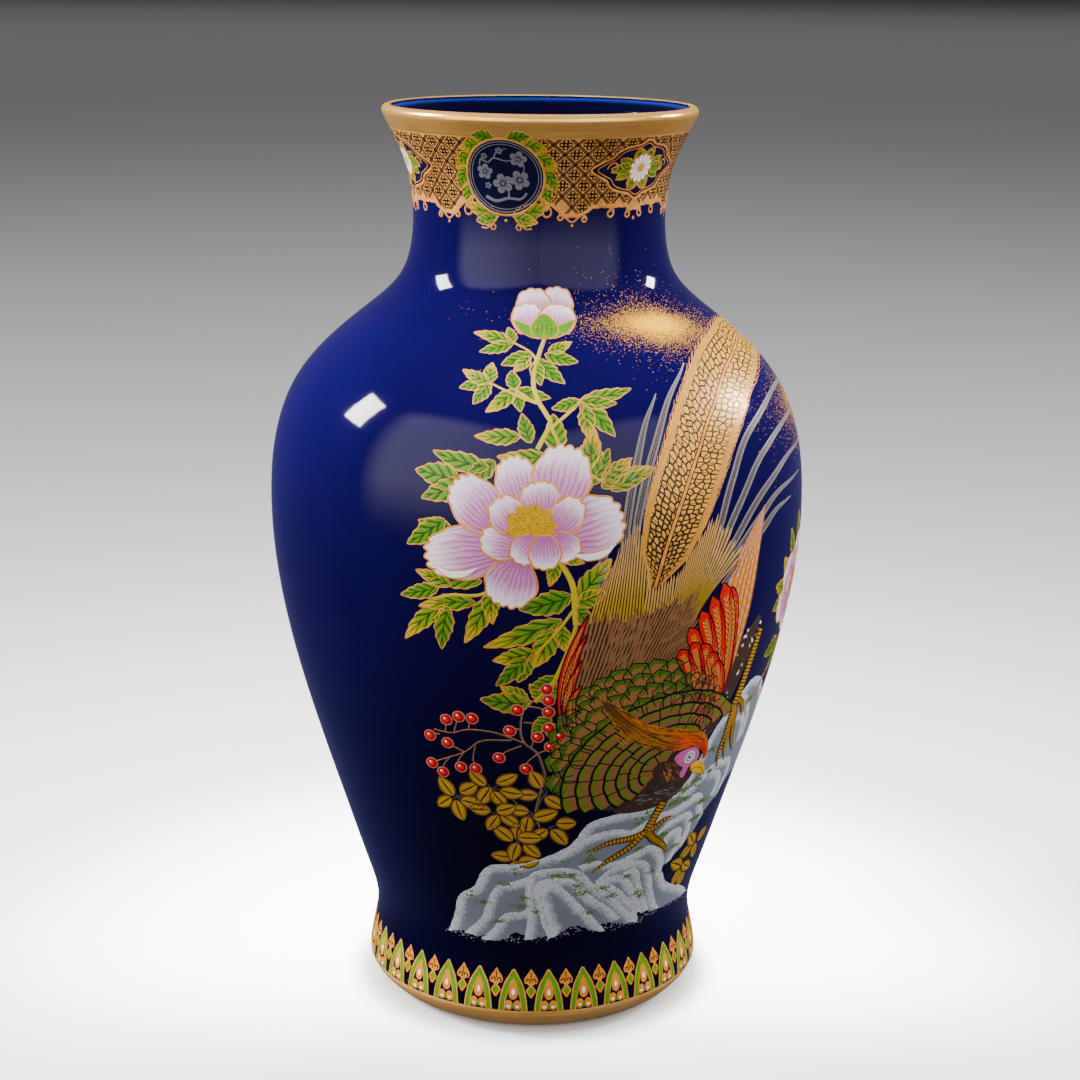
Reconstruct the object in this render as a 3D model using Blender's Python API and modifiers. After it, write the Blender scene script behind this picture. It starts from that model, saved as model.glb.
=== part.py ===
"""A baluster mantel urn in glazed porcelain: one turned, hollow body with an open mouth.

Metres, +Z up. The urn stands on the plane Z = 0 with its axis on Z.
"""

import math

import bpy
import numpy as np

# Radii of the outside, from the table up
STANDING_RADIUS = 0.0500
FOOT_RADIUS = 0.0591
WAIST_RADIUS = 0.0564
BELLY_RADIUS = 0.0917
NECK_RADIUS = 0.0426
MOUTH_RADIUS = 0.0529

# Heights, each measured up from the level before it
FOOT_RISE = 0.0090
WAIST_RISE = 0.0190
BODY_RISE = 0.1520
SHOULDER_RISE = 0.0930
COLLAR_RISE = 0.0370

# The clay
WALL = 0.0045
FLOOR = 0.0060
FLOOR_FILLET = 0.0090
RING_WIDTH = 0.0035
RECESS_DEPTH = 0.0040
RECESS_SLOPE = 0.0020
FLARE_ANGLE = math.radians(27)

# Free curve of the body: shares of the rise and of the swelling that each stretch has
FOOT_EDGE_FULLNESS = 1.4
BODY_SWELL = ((0.118, 0.114), (0.250, 0.298), (0.431, 0.546), (0.684, 0.845))
SHOULDER_FALL = ((0.258, 0.063), (0.452, 0.240), (0.624, 0.571), (0.769, 0.885), (0.882, 0.979))
COLLAR_FLARE = ((0.563, 0.294),)

# Facets
TURNS = 64
EDGE_STEPS = 5
OUTSIDE_STEPS = 32
LIP_STEPS = 6
INSIDE_STEPS = 24
FILLET_STEPS = 4
FINE_STEPS = 400
BEND_WEIGHT = 0.030

# Levels that the heights give
FOOT_LEVEL = FOOT_RISE
WAIST_LEVEL = FOOT_LEVEL + WAIST_RISE
BELLY_LEVEL = WAIST_LEVEL + BODY_RISE
NECK_LEVEL = BELLY_LEVEL + SHOULDER_RISE
HEIGHT = NECK_LEVEL + COLLAR_RISE
FLOOR_LEVEL = RECESS_DEPTH + FLOOR

GLAZE_COLOUR = (0.008, 0.010, 0.120, 1.0)
GLAZE_ROUGHNESS = 0.08


def clear_scene():
    for obj in list(bpy.data.objects):
        bpy.data.objects.remove(obj)


def between(low, high, shares):
    """Stations between two (radius, level) points, from shares of the rise and of the change."""
    return [
        (low[0] + swell * (high[0] - low[0]), low[1] + rise * (high[1] - low[1]))
        for rise, swell in shares
    ]


def lip_centre():
    return MOUTH_RADIUS - WALL / 2, HEIGHT - WALL / 2


def outside_stations():
    """(radius, level) points that the outer surface passes through, from the foot to the lip."""
    foot = (FOOT_RADIUS, FOOT_LEVEL)
    waist = (WAIST_RADIUS, WAIST_LEVEL)
    belly = (BELLY_RADIUS, BELLY_LEVEL)
    neck = (NECK_RADIUS, NECK_LEVEL)
    centre = lip_centre()
    mouth = (
        centre[0] + WALL / 2 * math.cos(FLARE_ANGLE),
        centre[1] - WALL / 2 * math.sin(FLARE_ANGLE),
    )
    return [
        foot,
        waist,
        *between(waist, belly, BODY_SWELL),
        belly,
        *between(belly, neck, SHOULDER_FALL),
        neck,
        *between(neck, mouth, COLLAR_FLARE),
        mouth,
    ]


def spline_slopes(levels, radii, first, last):
    """Slopes at the stations of the cubic spline whose end slopes are given."""
    count = len(levels)
    gaps = np.diff(levels)
    rises = np.diff(radii) / gaps
    system = np.zeros((count, count))
    wanted = np.zeros(count)
    system[0, 0] = system[-1, -1] = 1.0
    wanted[0], wanted[-1] = first, last
    for i in range(1, count - 1):
        before, after = gaps[i - 1], gaps[i]
        system[i, i - 1 : i + 2] = after, 2 * (before + after), before
        wanted[i] = 3 * (after * rises[i - 1] + before * rises[i])
    return np.linalg.solve(system, wanted)


def outside_curve():
    """A function that gives (radius, slope) of the outer surface at a level."""
    radii, levels = (np.array(values) for values in zip(*outside_stations()))
    slopes = spline_slopes(levels, radii, 0.0, math.tan(FLARE_ANGLE))

    def at(level):
        i = int(np.clip(np.searchsorted(levels, level) - 1, 0, len(levels) - 2))
        gap = levels[i + 1] - levels[i]
        t = (level - levels[i]) / gap
        start, end = radii[i], radii[i + 1]
        leave, arrive = slopes[i] * gap, slopes[i + 1] * gap
        bend = 2 * start - 2 * end + leave + arrive
        turn = 3 * end - 3 * start - 2 * leave - arrive
        radius = start + t * (leave + t * (turn + t * bend))
        slope = (leave + t * (2 * turn + 3 * t * bend)) / gap
        return radius, slope

    return at, levels[0], levels[-1]


def spaced_levels(at, bottom, top, steps):
    """Levels that lie closer together where the outer surface bends."""
    levels = np.linspace(bottom, top, FINE_STEPS)
    tilts = np.arctan([at(level)[1] for level in levels])
    lengths = np.diff(levels) / np.cos(tilts[1:])
    effort = np.concatenate([[0.0], np.cumsum(lengths + BEND_WEIGHT * np.abs(np.diff(tilts)))])
    return np.interp(np.linspace(0.0, effort[-1], steps), effort, levels)


def inner_wall(at, bottom, top):
    """(radius, level) points one wall inside the outer surface, from the bottom up."""
    points = []
    for level in spaced_levels(at, bottom, top, INSIDE_STEPS):
        radius, slope = at(level)
        tilt = math.atan(slope)
        points.append((radius - WALL * math.cos(tilt), level + WALL * math.sin(tilt)))
    return points


def inside_profile(at, top):
    """The inside from the middle of the floor up to the lip."""
    bottom = FLOOR_LEVEL + FLOOR_FILLET
    wall = inner_wall(at, bottom, top)
    start_radius, start_level = wall[0]
    reach = start_level - FLOOR_LEVEL
    fillet = []
    for i in range(FILLET_STEPS):
        angle = math.pi / 2 * i / FILLET_STEPS
        fillet.append(
            (
                start_radius - FLOOR_FILLET * (1 - math.sin(angle)),
                FLOOR_LEVEL + reach * (1 - math.cos(angle)),
            )
        )
    return [(0.0, FLOOR_LEVEL), *fillet, *wall]


def lip_profile():
    """The round lip, from the inside over to the outside."""
    radius, level = lip_centre()
    points = []
    for i in range(1, LIP_STEPS):
        angle = math.pi - FLARE_ANGLE - math.pi * i / LIP_STEPS
        points.append(
            (radius + WALL / 2 * math.cos(angle), level + WALL / 2 * math.sin(angle))
        )
    return points


def outside_profile(at, bottom, top):
    """The outside from the lip down to the foot's widest level."""
    levels = spaced_levels(at, bottom, top, OUTSIDE_STEPS)[::-1]
    return [(float(at(level)[0]), float(level)) for level in levels]


def foot_profile():
    """The foot's rounded lower edge, its standing ring and the recess under the floor."""
    edge = []
    for i in range(1, EDGE_STEPS + 1):
        fall = i / EDGE_STEPS
        width = (1 - fall**FOOT_EDGE_FULLNESS) ** (1 / FOOT_EDGE_FULLNESS)
        radius = STANDING_RADIUS + (FOOT_RADIUS - STANDING_RADIUS) * width
        edge.append((radius, FOOT_LEVEL * (1 - fall)))
    ring_inside = STANDING_RADIUS - RING_WIDTH
    return [
        *edge,
        (ring_inside, 0.0),
        (ring_inside - RECESS_SLOPE, RECESS_DEPTH),
        (0.0, RECESS_DEPTH),
    ]


def body_profile():
    """The whole section, from the middle of the floor, over the lip, to the middle underneath."""
    at, bottom, top = outside_curve()
    return [
        *inside_profile(at, top),
        *lip_profile(),
        *outside_profile(at, bottom, top),
        *foot_profile(),
    ]


def glaze():
    material = bpy.data.materials.new("cobalt glaze")
    material.use_nodes = True
    shader = material.node_tree.nodes["Principled BSDF"]
    shader.inputs["Base Color"].default_value = GLAZE_COLOUR
    shader.inputs["Roughness"].default_value = GLAZE_ROUGHNESS
    shader.inputs["Metallic"].default_value = 0.0
    return material


def turned_body(name, profile, collection):
    """Turns the section once round Z."""
    mesh = bpy.data.meshes.new(name)
    vertices = [(radius, 0.0, level) for radius, level in profile]
    edges = [(i, i + 1) for i in range(len(vertices) - 1)]
    mesh.from_pydata(vertices, edges, [])
    mesh.materials.append(glaze())
    body = bpy.data.objects.new(name, mesh)
    collection.objects.link(body)
    turn = body.modifiers.new("turn", "SCREW")
    turn.axis = "Z"
    turn.angle = 2 * math.pi
    turn.steps = turn.render_steps = TURNS
    turn.use_merge_vertices = True
    turn.merge_threshold = 0.00001
    turn.use_smooth_shade = True
    return body


def main():
    clear_scene()
    collection = bpy.data.collections.new("mantel_urn")
    bpy.context.scene.collection.children.link(collection)
    turned_body("urn_body", body_profile(), collection)


main()
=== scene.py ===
"""Looks of the mantel urn: cobalt glaze, gilding and enamel painting laid on the turned body."""
import math

import bmesh
import bpy
import numpy as np
from mathutils import Matrix, Vector
from mathutils.geometry import delaunay_2d_cdt


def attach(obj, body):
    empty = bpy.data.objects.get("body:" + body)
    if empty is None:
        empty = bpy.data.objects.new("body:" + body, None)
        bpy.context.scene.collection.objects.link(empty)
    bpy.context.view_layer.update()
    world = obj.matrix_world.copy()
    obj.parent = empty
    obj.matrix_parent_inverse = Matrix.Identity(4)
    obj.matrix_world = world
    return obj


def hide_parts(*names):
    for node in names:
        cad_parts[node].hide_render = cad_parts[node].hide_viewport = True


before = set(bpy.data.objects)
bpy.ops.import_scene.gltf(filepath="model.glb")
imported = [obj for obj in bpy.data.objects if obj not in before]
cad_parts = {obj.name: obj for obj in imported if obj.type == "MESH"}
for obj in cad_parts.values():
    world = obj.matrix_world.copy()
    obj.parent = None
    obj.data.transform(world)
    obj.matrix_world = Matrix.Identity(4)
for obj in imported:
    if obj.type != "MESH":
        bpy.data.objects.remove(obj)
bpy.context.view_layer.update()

draws = np.random.default_rng(11)

# Millimetres in a metre
MM = 1000

# The turned section, in millimetres, as the body has it
HEIGHT = 310.0
WALL = 4.5
FLARE_ANGLE = math.radians(27)
MOUTH_RADIUS = 52.9
STANDING_RADIUS = 50.0
RING_WIDTH = 3.5
RECESS_DEPTH = 4.0
RECESS_SLOPE = 2.0
FLOOR_LEVEL = 10.0
FLOOR_FILLET = 9.0
FOOT_EDGE_FULLNESS = 1.4
FOOT = (59.1, 9.0)
WAIST = (56.4, 28.0)
BELLY = (91.7, 180.0)
NECK = (42.6, 273.0)
BODY_SWELL = ((0.118, 0.114), (0.250, 0.298), (0.431, 0.546), (0.684, 0.845))
SHOULDER_FALL = ((0.258, 0.063), (0.452, 0.240), (0.624, 0.571), (0.769, 0.885), (0.882, 0.979))
COLLAR_FLARE = ((0.563, 0.294),)

# The glaze lies this far inside the solid, so that the enamel on it doesn't reach past the solid
GLAZE_INSET = 0.25

# The flat floors stop this far from the axis, and a turned surface has this many facets round
AXIS_GAP = 0.05
TURNS = 256

# How far screen colours are pushed away from grey and darkened
VIVIDNESS = 1.3
DEPTH = 0.82

# Where the gilding and the borders stop, as levels above the table, turns from the front in
# degrees to the right, and radii at which a border is drawn true to size
GILT_FOOT_TOP = 9.4
GILT_LIP_BOTTOM = 302.1
GILT_LIP_REACH = 11.0
GILT_THICKNESS = 0.05
LAPPETS = 30
LAPPET_TURN = 5.7
LAPPET_RADIUS = 57.2
TAIL_LENGTH = 168.0
TAIL_REACH = 12.0
MEDALLION_TURN = -14.4
CARTOUCHE_TURN = 45.6
CARTOUCHE_LEVEL = 289.8
COLLAR_LEVEL = 290.5
COLLAR_RADIUS = 45.0
COLLAR_REPEATS = 3
COLLAR_DIAMONDS = 40


def between(low, high, shares):
    """Stations between two (radius, level) points, from shares of the rise and of the change."""
    return [
        (low[0] + swell * (high[0] - low[0]), low[1] + rise * (high[1] - low[1]))
        for rise, swell in shares
    ]


def spline_slopes(levels, radii, first, last):
    """Slopes at the stations of the cubic spline whose end slopes are given."""
    count = len(levels)
    gaps = np.diff(levels)
    rises = np.diff(radii) / gaps
    system = np.zeros((count, count))
    wanted = np.zeros(count)
    system[0, 0] = system[-1, -1] = 1.0
    wanted[0], wanted[-1] = first, last
    for i in range(1, count - 1):
        before, after = gaps[i - 1], gaps[i]
        system[i, i - 1 : i + 2] = after, 2 * (before + after), before
        wanted[i] = 3 * (after * rises[i - 1] + before * rises[i])
    return np.linalg.solve(system, wanted)


def outside_curve():
    """(radius, slope) of the outer surface at any levels between the foot and the lip."""
    lip = (MOUTH_RADIUS - WALL / 2, HEIGHT - WALL / 2)
    mouth = (
        lip[0] + WALL / 2 * math.cos(FLARE_ANGLE),
        lip[1] - WALL / 2 * math.sin(FLARE_ANGLE),
    )
    stations = [
        FOOT, WAIST, *between(WAIST, BELLY, BODY_SWELL), BELLY,
        *between(BELLY, NECK, SHOULDER_FALL), NECK,
        *between(NECK, mouth, COLLAR_FLARE), mouth,
    ]
    radii, levels = (np.array(values) for values in zip(*stations))
    slopes = spline_slopes(levels, radii, 0.0, math.tan(FLARE_ANGLE))

    def at(level):
        level = np.asarray(level, float)
        i = np.clip(np.searchsorted(levels, level) - 1, 0, len(levels) - 2)
        gap = levels[i + 1] - levels[i]
        t = (level - levels[i]) / gap
        start, end = radii[i], radii[i + 1]
        leave, arrive = slopes[i] * gap, slopes[i + 1] * gap
        bend = 2 * start - 2 * end + leave + arrive
        turn = 3 * end - 3 * start - 2 * leave - arrive
        radius = start + t * (leave + t * (turn + t * bend))
        return radius, (leave + t * (2 * turn + 3 * t * bend)) / gap

    return at, levels[0], levels[-1], lip


def section():
    """The outer section from the standing ring up, over the lip and down to the floor inside."""
    at, bottom, top, lip = outside_curve()
    fall = np.linspace(1.0, 0.0, 24)[:-1]
    spread = np.clip(1 - fall**FOOT_EDGE_FULLNESS, 0, 1) ** (1 / FOOT_EDGE_FULLNESS)
    edge = np.stack([STANDING_RADIUS + (FOOT[0] - STANDING_RADIUS) * spread, FOOT[1] * (1 - fall)], 1)
    levels = np.linspace(bottom, top, 260)
    outer = np.stack([at(levels)[0], levels], 1)
    around = np.linspace(-FLARE_ANGLE, math.pi - FLARE_ANGLE, 16)[1:-1]
    crown = np.stack([lip[0] + WALL / 2 * np.cos(around), lip[1] + WALL / 2 * np.sin(around)], 1)
    levels = np.linspace(top, FLOOR_LEVEL + FLOOR_FILLET, 90)
    radii, slopes = at(levels)
    tilt = np.arctan(slopes)
    inner = np.stack([radii - WALL * np.cos(tilt), levels + WALL * np.sin(tilt)], 1)
    sweep = np.linspace(math.pi / 2, 0, 8)[1:]
    reach = inner[-1, 1] - FLOOR_LEVEL
    fillet = np.stack(
        [
            inner[-1, 0] - FLOOR_FILLET * (1 - np.sin(sweep)),
            FLOOR_LEVEL + reach * (1 - np.cos(sweep)),
        ],
        1,
    )
    return np.concatenate([edge, outer, crown, inner, fillet]), len(edge) + len(outer)


SECTION, OUTSIDE_COUNT = section()
STEPS = np.diff(SECTION, axis=0)
ARCS = np.concatenate([[0.0], np.cumsum(np.hypot(STEPS[:, 0], STEPS[:, 1]))])
TANGENTS = np.gradient(SECTION, ARCS, axis=0)
TANGENTS /= np.linalg.norm(TANGENTS, axis=1)[:, None]


def arc_at(level):
    """Arc length along the outside at a level."""
    return float(np.interp(level, SECTION[:OUTSIDE_COUNT, 1], ARCS[:OUTSIDE_COUNT]))


def on_urn(angle, arc, lift):
    """World points at angles (radians from the front), arc lengths and lifts off the surface, in mm."""
    angle, arc, lift = np.broadcast_arrays(angle, arc, lift)
    radius = np.interp(arc, ARCS, SECTION[:, 0])
    level = np.interp(arc, ARCS, SECTION[:, 1])
    out_r = np.interp(arc, ARCS, TANGENTS[:, 1])
    out_z = np.interp(arc, ARCS, -TANGENTS[:, 0])
    radius = radius + out_r * (lift - GLAZE_INSET)
    level = level + out_z * (lift - GLAZE_INSET)
    return np.stack([radius * np.sin(angle), -radius * np.cos(angle), level], -1) / MM


class Chart:
    """A flat drawing plane in mm, laid on the urn about a point: x runs round it, y up along it.

    With a radius given, x turns the urn as it does at that radius, so that borders meet all round.
    """

    def __init__(self, turn, level, radius=None):
        self.angle = math.radians(turn)
        self.arc = arc_at(level)
        self.radius = radius

    def lay(self, x, y, lift=0.0):
        arc = self.arc + np.asarray(y, float)
        radius = self.radius or np.interp(arc, ARCS, SECTION[:, 0])
        return on_urn(self.angle + np.asarray(x, float) / radius, arc, lift)


def smooth(points, count, closed=False):
    """A curve through the points: an array of count rows."""
    points = np.asarray(points, float)
    if closed:
        knots = np.concatenate([points[-1:], points, points[:2]])
    else:
        knots = np.concatenate([2 * points[:1] - points[1:2], points, 2 * points[-1:] - points[-2:-1]])
    spans = len(knots) - 3
    s = np.linspace(0, spans, count, endpoint=not closed)
    i = np.minimum(s.astype(int), spans - 1)
    t = (s - i)[:, None]
    a, b, c, d = knots[i], knots[i + 1], knots[i + 2], knots[i + 3]
    return b + 0.5 * t * (c - a + t * (2 * a - 5 * b + 4 * c - d + t * (3 * (b - c) + d - a)))


def spread(values, count):
    """Values given at even steps, read off at more steps."""
    return np.interp(np.linspace(0, 1, count), np.linspace(0, 1, len(values)), values)


def even(points, step, closed=False):
    """The same path with points about a step apart."""
    points = np.asarray(points, float)
    if closed:
        points = np.concatenate([points, points[:1]])
    length = np.concatenate([[0.0], np.cumsum(np.linalg.norm(np.diff(points, axis=0), axis=1))])
    count = max(int(round(length[-1] / step)) + 1, 4)
    s = np.linspace(0, length[-1], count)
    path = np.stack([np.interp(s, length, points[:, k]) for k in range(2)], 1)
    return path[:-1] if closed else path


def sideways(path, closed=False):
    """Unit vectors to the left of a path."""
    if closed:
        along = np.roll(path, -1, axis=0) - np.roll(path, 1, axis=0)
    else:
        along = np.gradient(path, axis=0)
    along = along / np.maximum(np.linalg.norm(along, axis=1), 1e-9)[:, None]
    return np.stack([-along[:, 1], along[:, 0]], 1)


def grid_faces(rows, columns, closed=False):
    """The faces between the points of a grid, as places in its flat list of points."""
    r = np.arange(rows if closed else rows - 1)
    c = np.arange(columns - 1)
    here = (r[:, None] * columns + c[None, :]).ravel()
    above = ((((r + 1) % rows)[:, None]) * columns + c[None, :]).ravel()
    return np.stack([here, here + 1, above + 1, above], 1)


class Sheet:
    """Collects the faces of one piece; what is drawn lies on its chart."""

    def __init__(self, name, chart=None):
        self.name = name
        self.chart = chart
        self.points, self.faces, self.uvs, self.shades, self.tints, self.slots = [], [], [], [], [], []
        self.finishes = []
        self.total = 0

    def on(self, chart):
        """Changes the chart for what is drawn next."""
        self.chart = chart
        return self

    def add(self, points, faces, uv, finish, shade=0.5, tint=0.5):
        points = np.asarray(points).reshape(-1, 3)
        count = len(points)
        if finish not in self.finishes:
            self.finishes.append(finish)
        slot = self.finishes.index(finish)
        self.points.append(points)
        self.uvs.append(np.asarray(uv, float).reshape(-1, 2))
        self.shades.append(np.broadcast_to(np.asarray(shade, float).ravel(), (count,)))
        self.tints.append(np.full(count, tint))
        self.faces.extend((np.asarray(faces) + self.total).tolist())
        self.slots.extend([slot] * len(faces))
        self.total += count

    def build(self):
        points = np.concatenate(self.points)
        mesh = bpy.data.meshes.new(self.name)
        mesh.from_pydata(points.tolist(), [], self.faces)
        for finish in self.finishes:
            mesh.materials.append(FINISHES[finish])
        mesh.polygons.foreach_set("material_index", self.slots)
        mesh.polygons.foreach_set("use_smooth", [True] * len(self.faces))
        uv = np.concatenate(self.uvs)
        corner = np.empty(len(mesh.loops), dtype=np.int32)
        mesh.loops.foreach_get("vertex_index", corner)
        mesh.uv_layers.new(name="pattern").data.foreach_set("uv", uv[corner].ravel())
        for name, values in (("shade", self.shades), ("tint", self.tints)):
            mesh.attributes.new(name, "FLOAT", "POINT").data.foreach_set("value", np.concatenate(values))
        mesh.update()
        piece = bpy.data.objects.new(self.name, mesh)
        bpy.context.scene.collection.objects.link(piece)
        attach(piece, "root")
        return piece


def outward(x, y, faces):
    """The faces turned so that they point out of the urn."""
    corners = np.stack([x.ravel(), y.ravel()], 1)[faces]
    ahead = np.roll(corners, -1, axis=1)
    area = (corners[..., 0] * ahead[..., 1] - corners[..., 1] * ahead[..., 0]).sum()
    return faces[:, ::-1] if area < 0 else faces


def patch(sheet, x, y, finish, lift, u, v, shade=0.5, tint=0.5):
    """A grid of points on the sheet's chart."""
    faces = outward(x, y, grid_faces(*x.shape))
    sheet.add(sheet.chart.lay(x, y, lift), faces, np.stack([u, v], -1), finish, shade, tint)


# Where a raised line has its four edges, as shares of its width, and how high each one stands
RIBBON_ACROSS = np.array([[-0.5, -0.22, 0.22, 0.5]])
RIBBON_RISE = np.array([[0.0, 1.0, 1.0, 0.0]])


def ribbon(sheet, path, width, finish, lift, closed=False, taper=None, height=0.06, step=0.8):
    """A raised line along a path; taper gives shares of its width along it."""
    path = even(path, step, closed)
    side = sideways(path, closed)
    share = spread(taper or (1, 1), len(path))
    offset = RIBBON_ACROSS * width * share[:, None]
    x = path[:, :1] + side[:, :1] * offset
    y = path[:, 1:] + side[:, 1:] * offset
    faces = grid_faces(len(path), 4, closed)
    v = np.broadcast_to(np.arange(len(path))[:, None] * step, x.shape)
    u = np.broadcast_to(RIBBON_ACROSS + 0.5, x.shape)
    points = sheet.chart.lay(x, y, lift + height * RIBBON_RISE * np.sqrt(share)[:, None])
    sheet.add(points, outward(x, y, faces), np.stack([u, v], -1), finish)


def stroke(sheet, path, width, finish, lift):
    """A flat line of one face's width."""
    path = np.asarray(path, float)
    side = sideways(path) * width / 2
    x = np.stack([path[:, 0] - side[:, 0], path[:, 0] + side[:, 0]], 1)
    y = np.stack([path[:, 1] - side[:, 1], path[:, 1] + side[:, 1]], 1)
    v = np.broadcast_to(np.linspace(0, 1, len(path))[:, None], x.shape)
    u = np.broadcast_to(np.array([[0.0, 1.0]]), x.shape)
    patch(sheet, x, y, finish, lift, u, v)


def disc(sheet, x, y, radius, finish, lift, dome=0.0, squash=1.0, turn=0.0, rings=4, sides=20):
    """A round or oval spot, domed if wanted; its shade runs from the middle to the edge."""
    s = np.linspace(0, 1, rings + 1)[1:]
    a = np.linspace(0, 2 * math.pi, sides, endpoint=False)
    px = np.concatenate([[0.0], (s[:, None] * np.cos(a)).ravel()]) * radius
    py = np.concatenate([[0.0], (s[:, None] * np.sin(a)).ravel()]) * radius * squash
    cx = x + px * math.cos(turn) - py * math.sin(turn)
    cy = y + px * math.sin(turn) + py * math.cos(turn)
    share = np.concatenate([[0.0], np.repeat(s, sides)])
    faces = [(0, 1 + i, 1 + (i + 1) % sides) for i in range(sides)]
    for circle in range(rings - 1):
        start = 1 + circle * sides
        for i in range(sides):
            j = (i + 1) % sides
            faces.append((start + i, start + sides + i, start + sides + j))
            faces.append((start + i, start + sides + j, start + j))
    height = lift + dome * np.sqrt(np.clip(1 - share**2, 0, 1))
    uv = np.stack([px / radius, py / radius], 1)
    sheet.add(sheet.chart.lay(cx, cy, height), np.array(faces), uv, finish, share)


def ring(sheet, x, y, radius, width, finish, lift, start=0.0, end=360.0, **options):
    """A raised line round a circle, or part of the way round."""
    a = np.radians(np.linspace(start, end, 49))
    path = np.stack([x + radius * np.cos(a), y + radius * np.sin(a)], 1)
    closed = end - start >= 360
    ribbon(sheet, path[:-1] if closed else path, width, finish, lift, closed=closed, **options)


def inside(outline, x, y):
    """Which points lie inside a closed outline."""
    ax, ay = outline[:, 0], outline[:, 1]
    bx, by = np.roll(ax, -1), np.roll(ay, -1)
    crossed = (ay[None] > y[:, None]) != (by[None] > y[:, None])
    rise = np.where(by == ay, 1e-12, by - ay)
    where = ax[None] + (y[:, None] - ay[None]) * (bx - ax)[None] / rise[None]
    return (crossed & (x[:, None] < where)).sum(1) % 2 == 1


def distance(path, x, y, closed=False):
    """Distance from points to a path."""
    path = np.asarray(path, float)
    a = path if closed else path[:-1]
    b = np.roll(path, -1, axis=0) if closed else path[1:]
    along = b - a
    px = x[:, None] - a[None, :, 0]
    py = y[:, None] - a[None, :, 1]
    t = np.clip((px * along[:, 0] + py * along[:, 1]) / np.maximum((along**2).sum(1), 1e-12), 0, 1)
    return np.hypot(px - t * along[:, 0], py - t * along[:, 1]).min(1)


def fill(sheet, outline, finish, lift, step=1.3, shade=None, crown=0.0):
    """Fills a closed outline; shade is a function of x and y, crown raises the middle."""
    outline = even(outline, step * 0.8, closed=True)
    low, high = outline.min(0), outline.max(0)
    gx, gy = np.meshgrid(np.arange(low[0], high[0], step), np.arange(low[1], high[1], step * 0.87))
    gx = gx + (np.arange(len(gx)) % 2)[:, None] * step / 2
    gx, gy = gx.ravel(), gy.ravel()
    keep = inside(outline, gx, gy)
    gx, gy = gx[keep], gy[keep]
    if len(gx):
        keep = distance(outline, gx, gy, closed=True) > step * 0.4
        gx, gy = gx[keep], gy[keep]
    x = np.concatenate([outline[:, 0], gx])
    y = np.concatenate([outline[:, 1], gy])
    count = len(outline)
    edges = [(i, (i + 1) % count) for i in range(count)]
    vectors = [Vector(pair) for pair in zip(x.tolist(), y.tolist())]
    found = delaunay_2d_cdt(vectors, edges, [], 1, 1e-5)
    x = np.array([point[0] for point in found[0]])
    y = np.array([point[1] for point in found[0]])
    faces = outward(x, y, np.array([face[:3] for face in found[2]]))
    height = lift
    if crown:
        edge = distance(outline, x, y, closed=True)
        height = lift + crown * np.minimum(edge / (3 * crown + 0.6), 1) ** 0.5
    near = shade(x, y) if shade else 0.5
    sheet.add(sheet.chart.lay(x, y, height), faces, np.stack([x, y], 1), finish, near)


def heading(degrees):
    """The unit vector in a direction."""
    return np.array([math.cos(math.radians(degrees)), math.sin(math.radians(degrees))])


def spine(x, y, degrees, length, bend, count):
    """A curved centre line from a point; bend is the total turn in degrees along it."""
    turn = np.radians(degrees + bend * np.linspace(-0.5, 0.5, count))
    step = length / (count - 1)
    px = x + np.concatenate([[0.0], np.cumsum(np.cos((turn[1:] + turn[:-1]) / 2) * step)])
    py = y + np.concatenate([[0.0], np.cumsum(np.sin((turn[1:] + turn[:-1]) / 2) * step)])
    return np.stack([px, py], 1)


def strip(sheet, centre, half, finish, lift, columns=5, crown=0.0, tint=0.5):
    """A surface along a centre line with half widths; u runs -1 to 1 across it, v 0 to 1 along."""
    side = sideways(centre)
    u = np.linspace(-1, 1, columns)[None, :]
    v = np.linspace(0, 1, len(centre))[:, None]
    half = np.asarray(half, float)[:, None]
    x = centre[:, :1] + side[:, :1] * half * u
    y = centre[:, 1:] + side[:, 1:] * half * u
    u, v = np.broadcast_arrays(u, v)
    height = lift + crown * (1 - u**2) * np.minimum(half / half.max() * 2, 1)
    patch(sheet, x, y, finish, height, u, v, 0.5, tint)
    left = np.stack([x[:, -1], y[:, -1]], 1)
    right = np.stack([x[:, 0], y[:, 0]], 1)
    return np.concatenate([right, left[::-1]])


def station_path(course, rows):
    """A smooth path of angles and arcs through (turn, level) stations."""
    return smooth([(math.radians(turn), arc_at(level)) for turn, level in course], rows)


def headings_round(path):
    """Radius and unit direction, true to size, at each row of a path of angles and arcs."""
    radius = np.interp(path[:, 1], ARCS, SECTION[:, 0])
    along = np.gradient(path, axis=0) * np.stack([radius, np.ones(len(path))], 1)
    return radius, along / np.maximum(np.linalg.norm(along, axis=1), 1e-9)[:, None]


def beside(path, reach):
    """Angles and arcs at distances to the left of a path, true to size wherever it goes."""
    along = headings_round(path)[1]
    middle = np.interp(path[:, 1:] + along[:, :1] * reach / 2, ARCS, SECTION[:, 0])
    return path[:, :1] - along[:, 1:] * reach / middle, path[:, 1:] + along[:, :1] * reach


def strip_round(sheet, path, half, finish, lift, columns):
    """A surface along a path of angles and arcs; u runs -1 to 1 across it, v 0 to 1 along."""
    half = spread(half, len(path))[:, None]
    u, v = np.meshgrid(np.linspace(-1, 1, columns), np.linspace(0, 1, len(path)))
    points = on_urn(*beside(path, half * u), lift)
    sheet.add(points, grid_faces(*u.shape)[:, ::-1], np.stack([u, v], -1), finish)


def edges_round(path, half):
    """Both edges of a surface along a path, as angles and arcs."""
    half = spread(half, len(path))[:, None]
    return [np.concatenate(beside(path, half * side), 1) for side in (-1, 1)]


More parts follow.
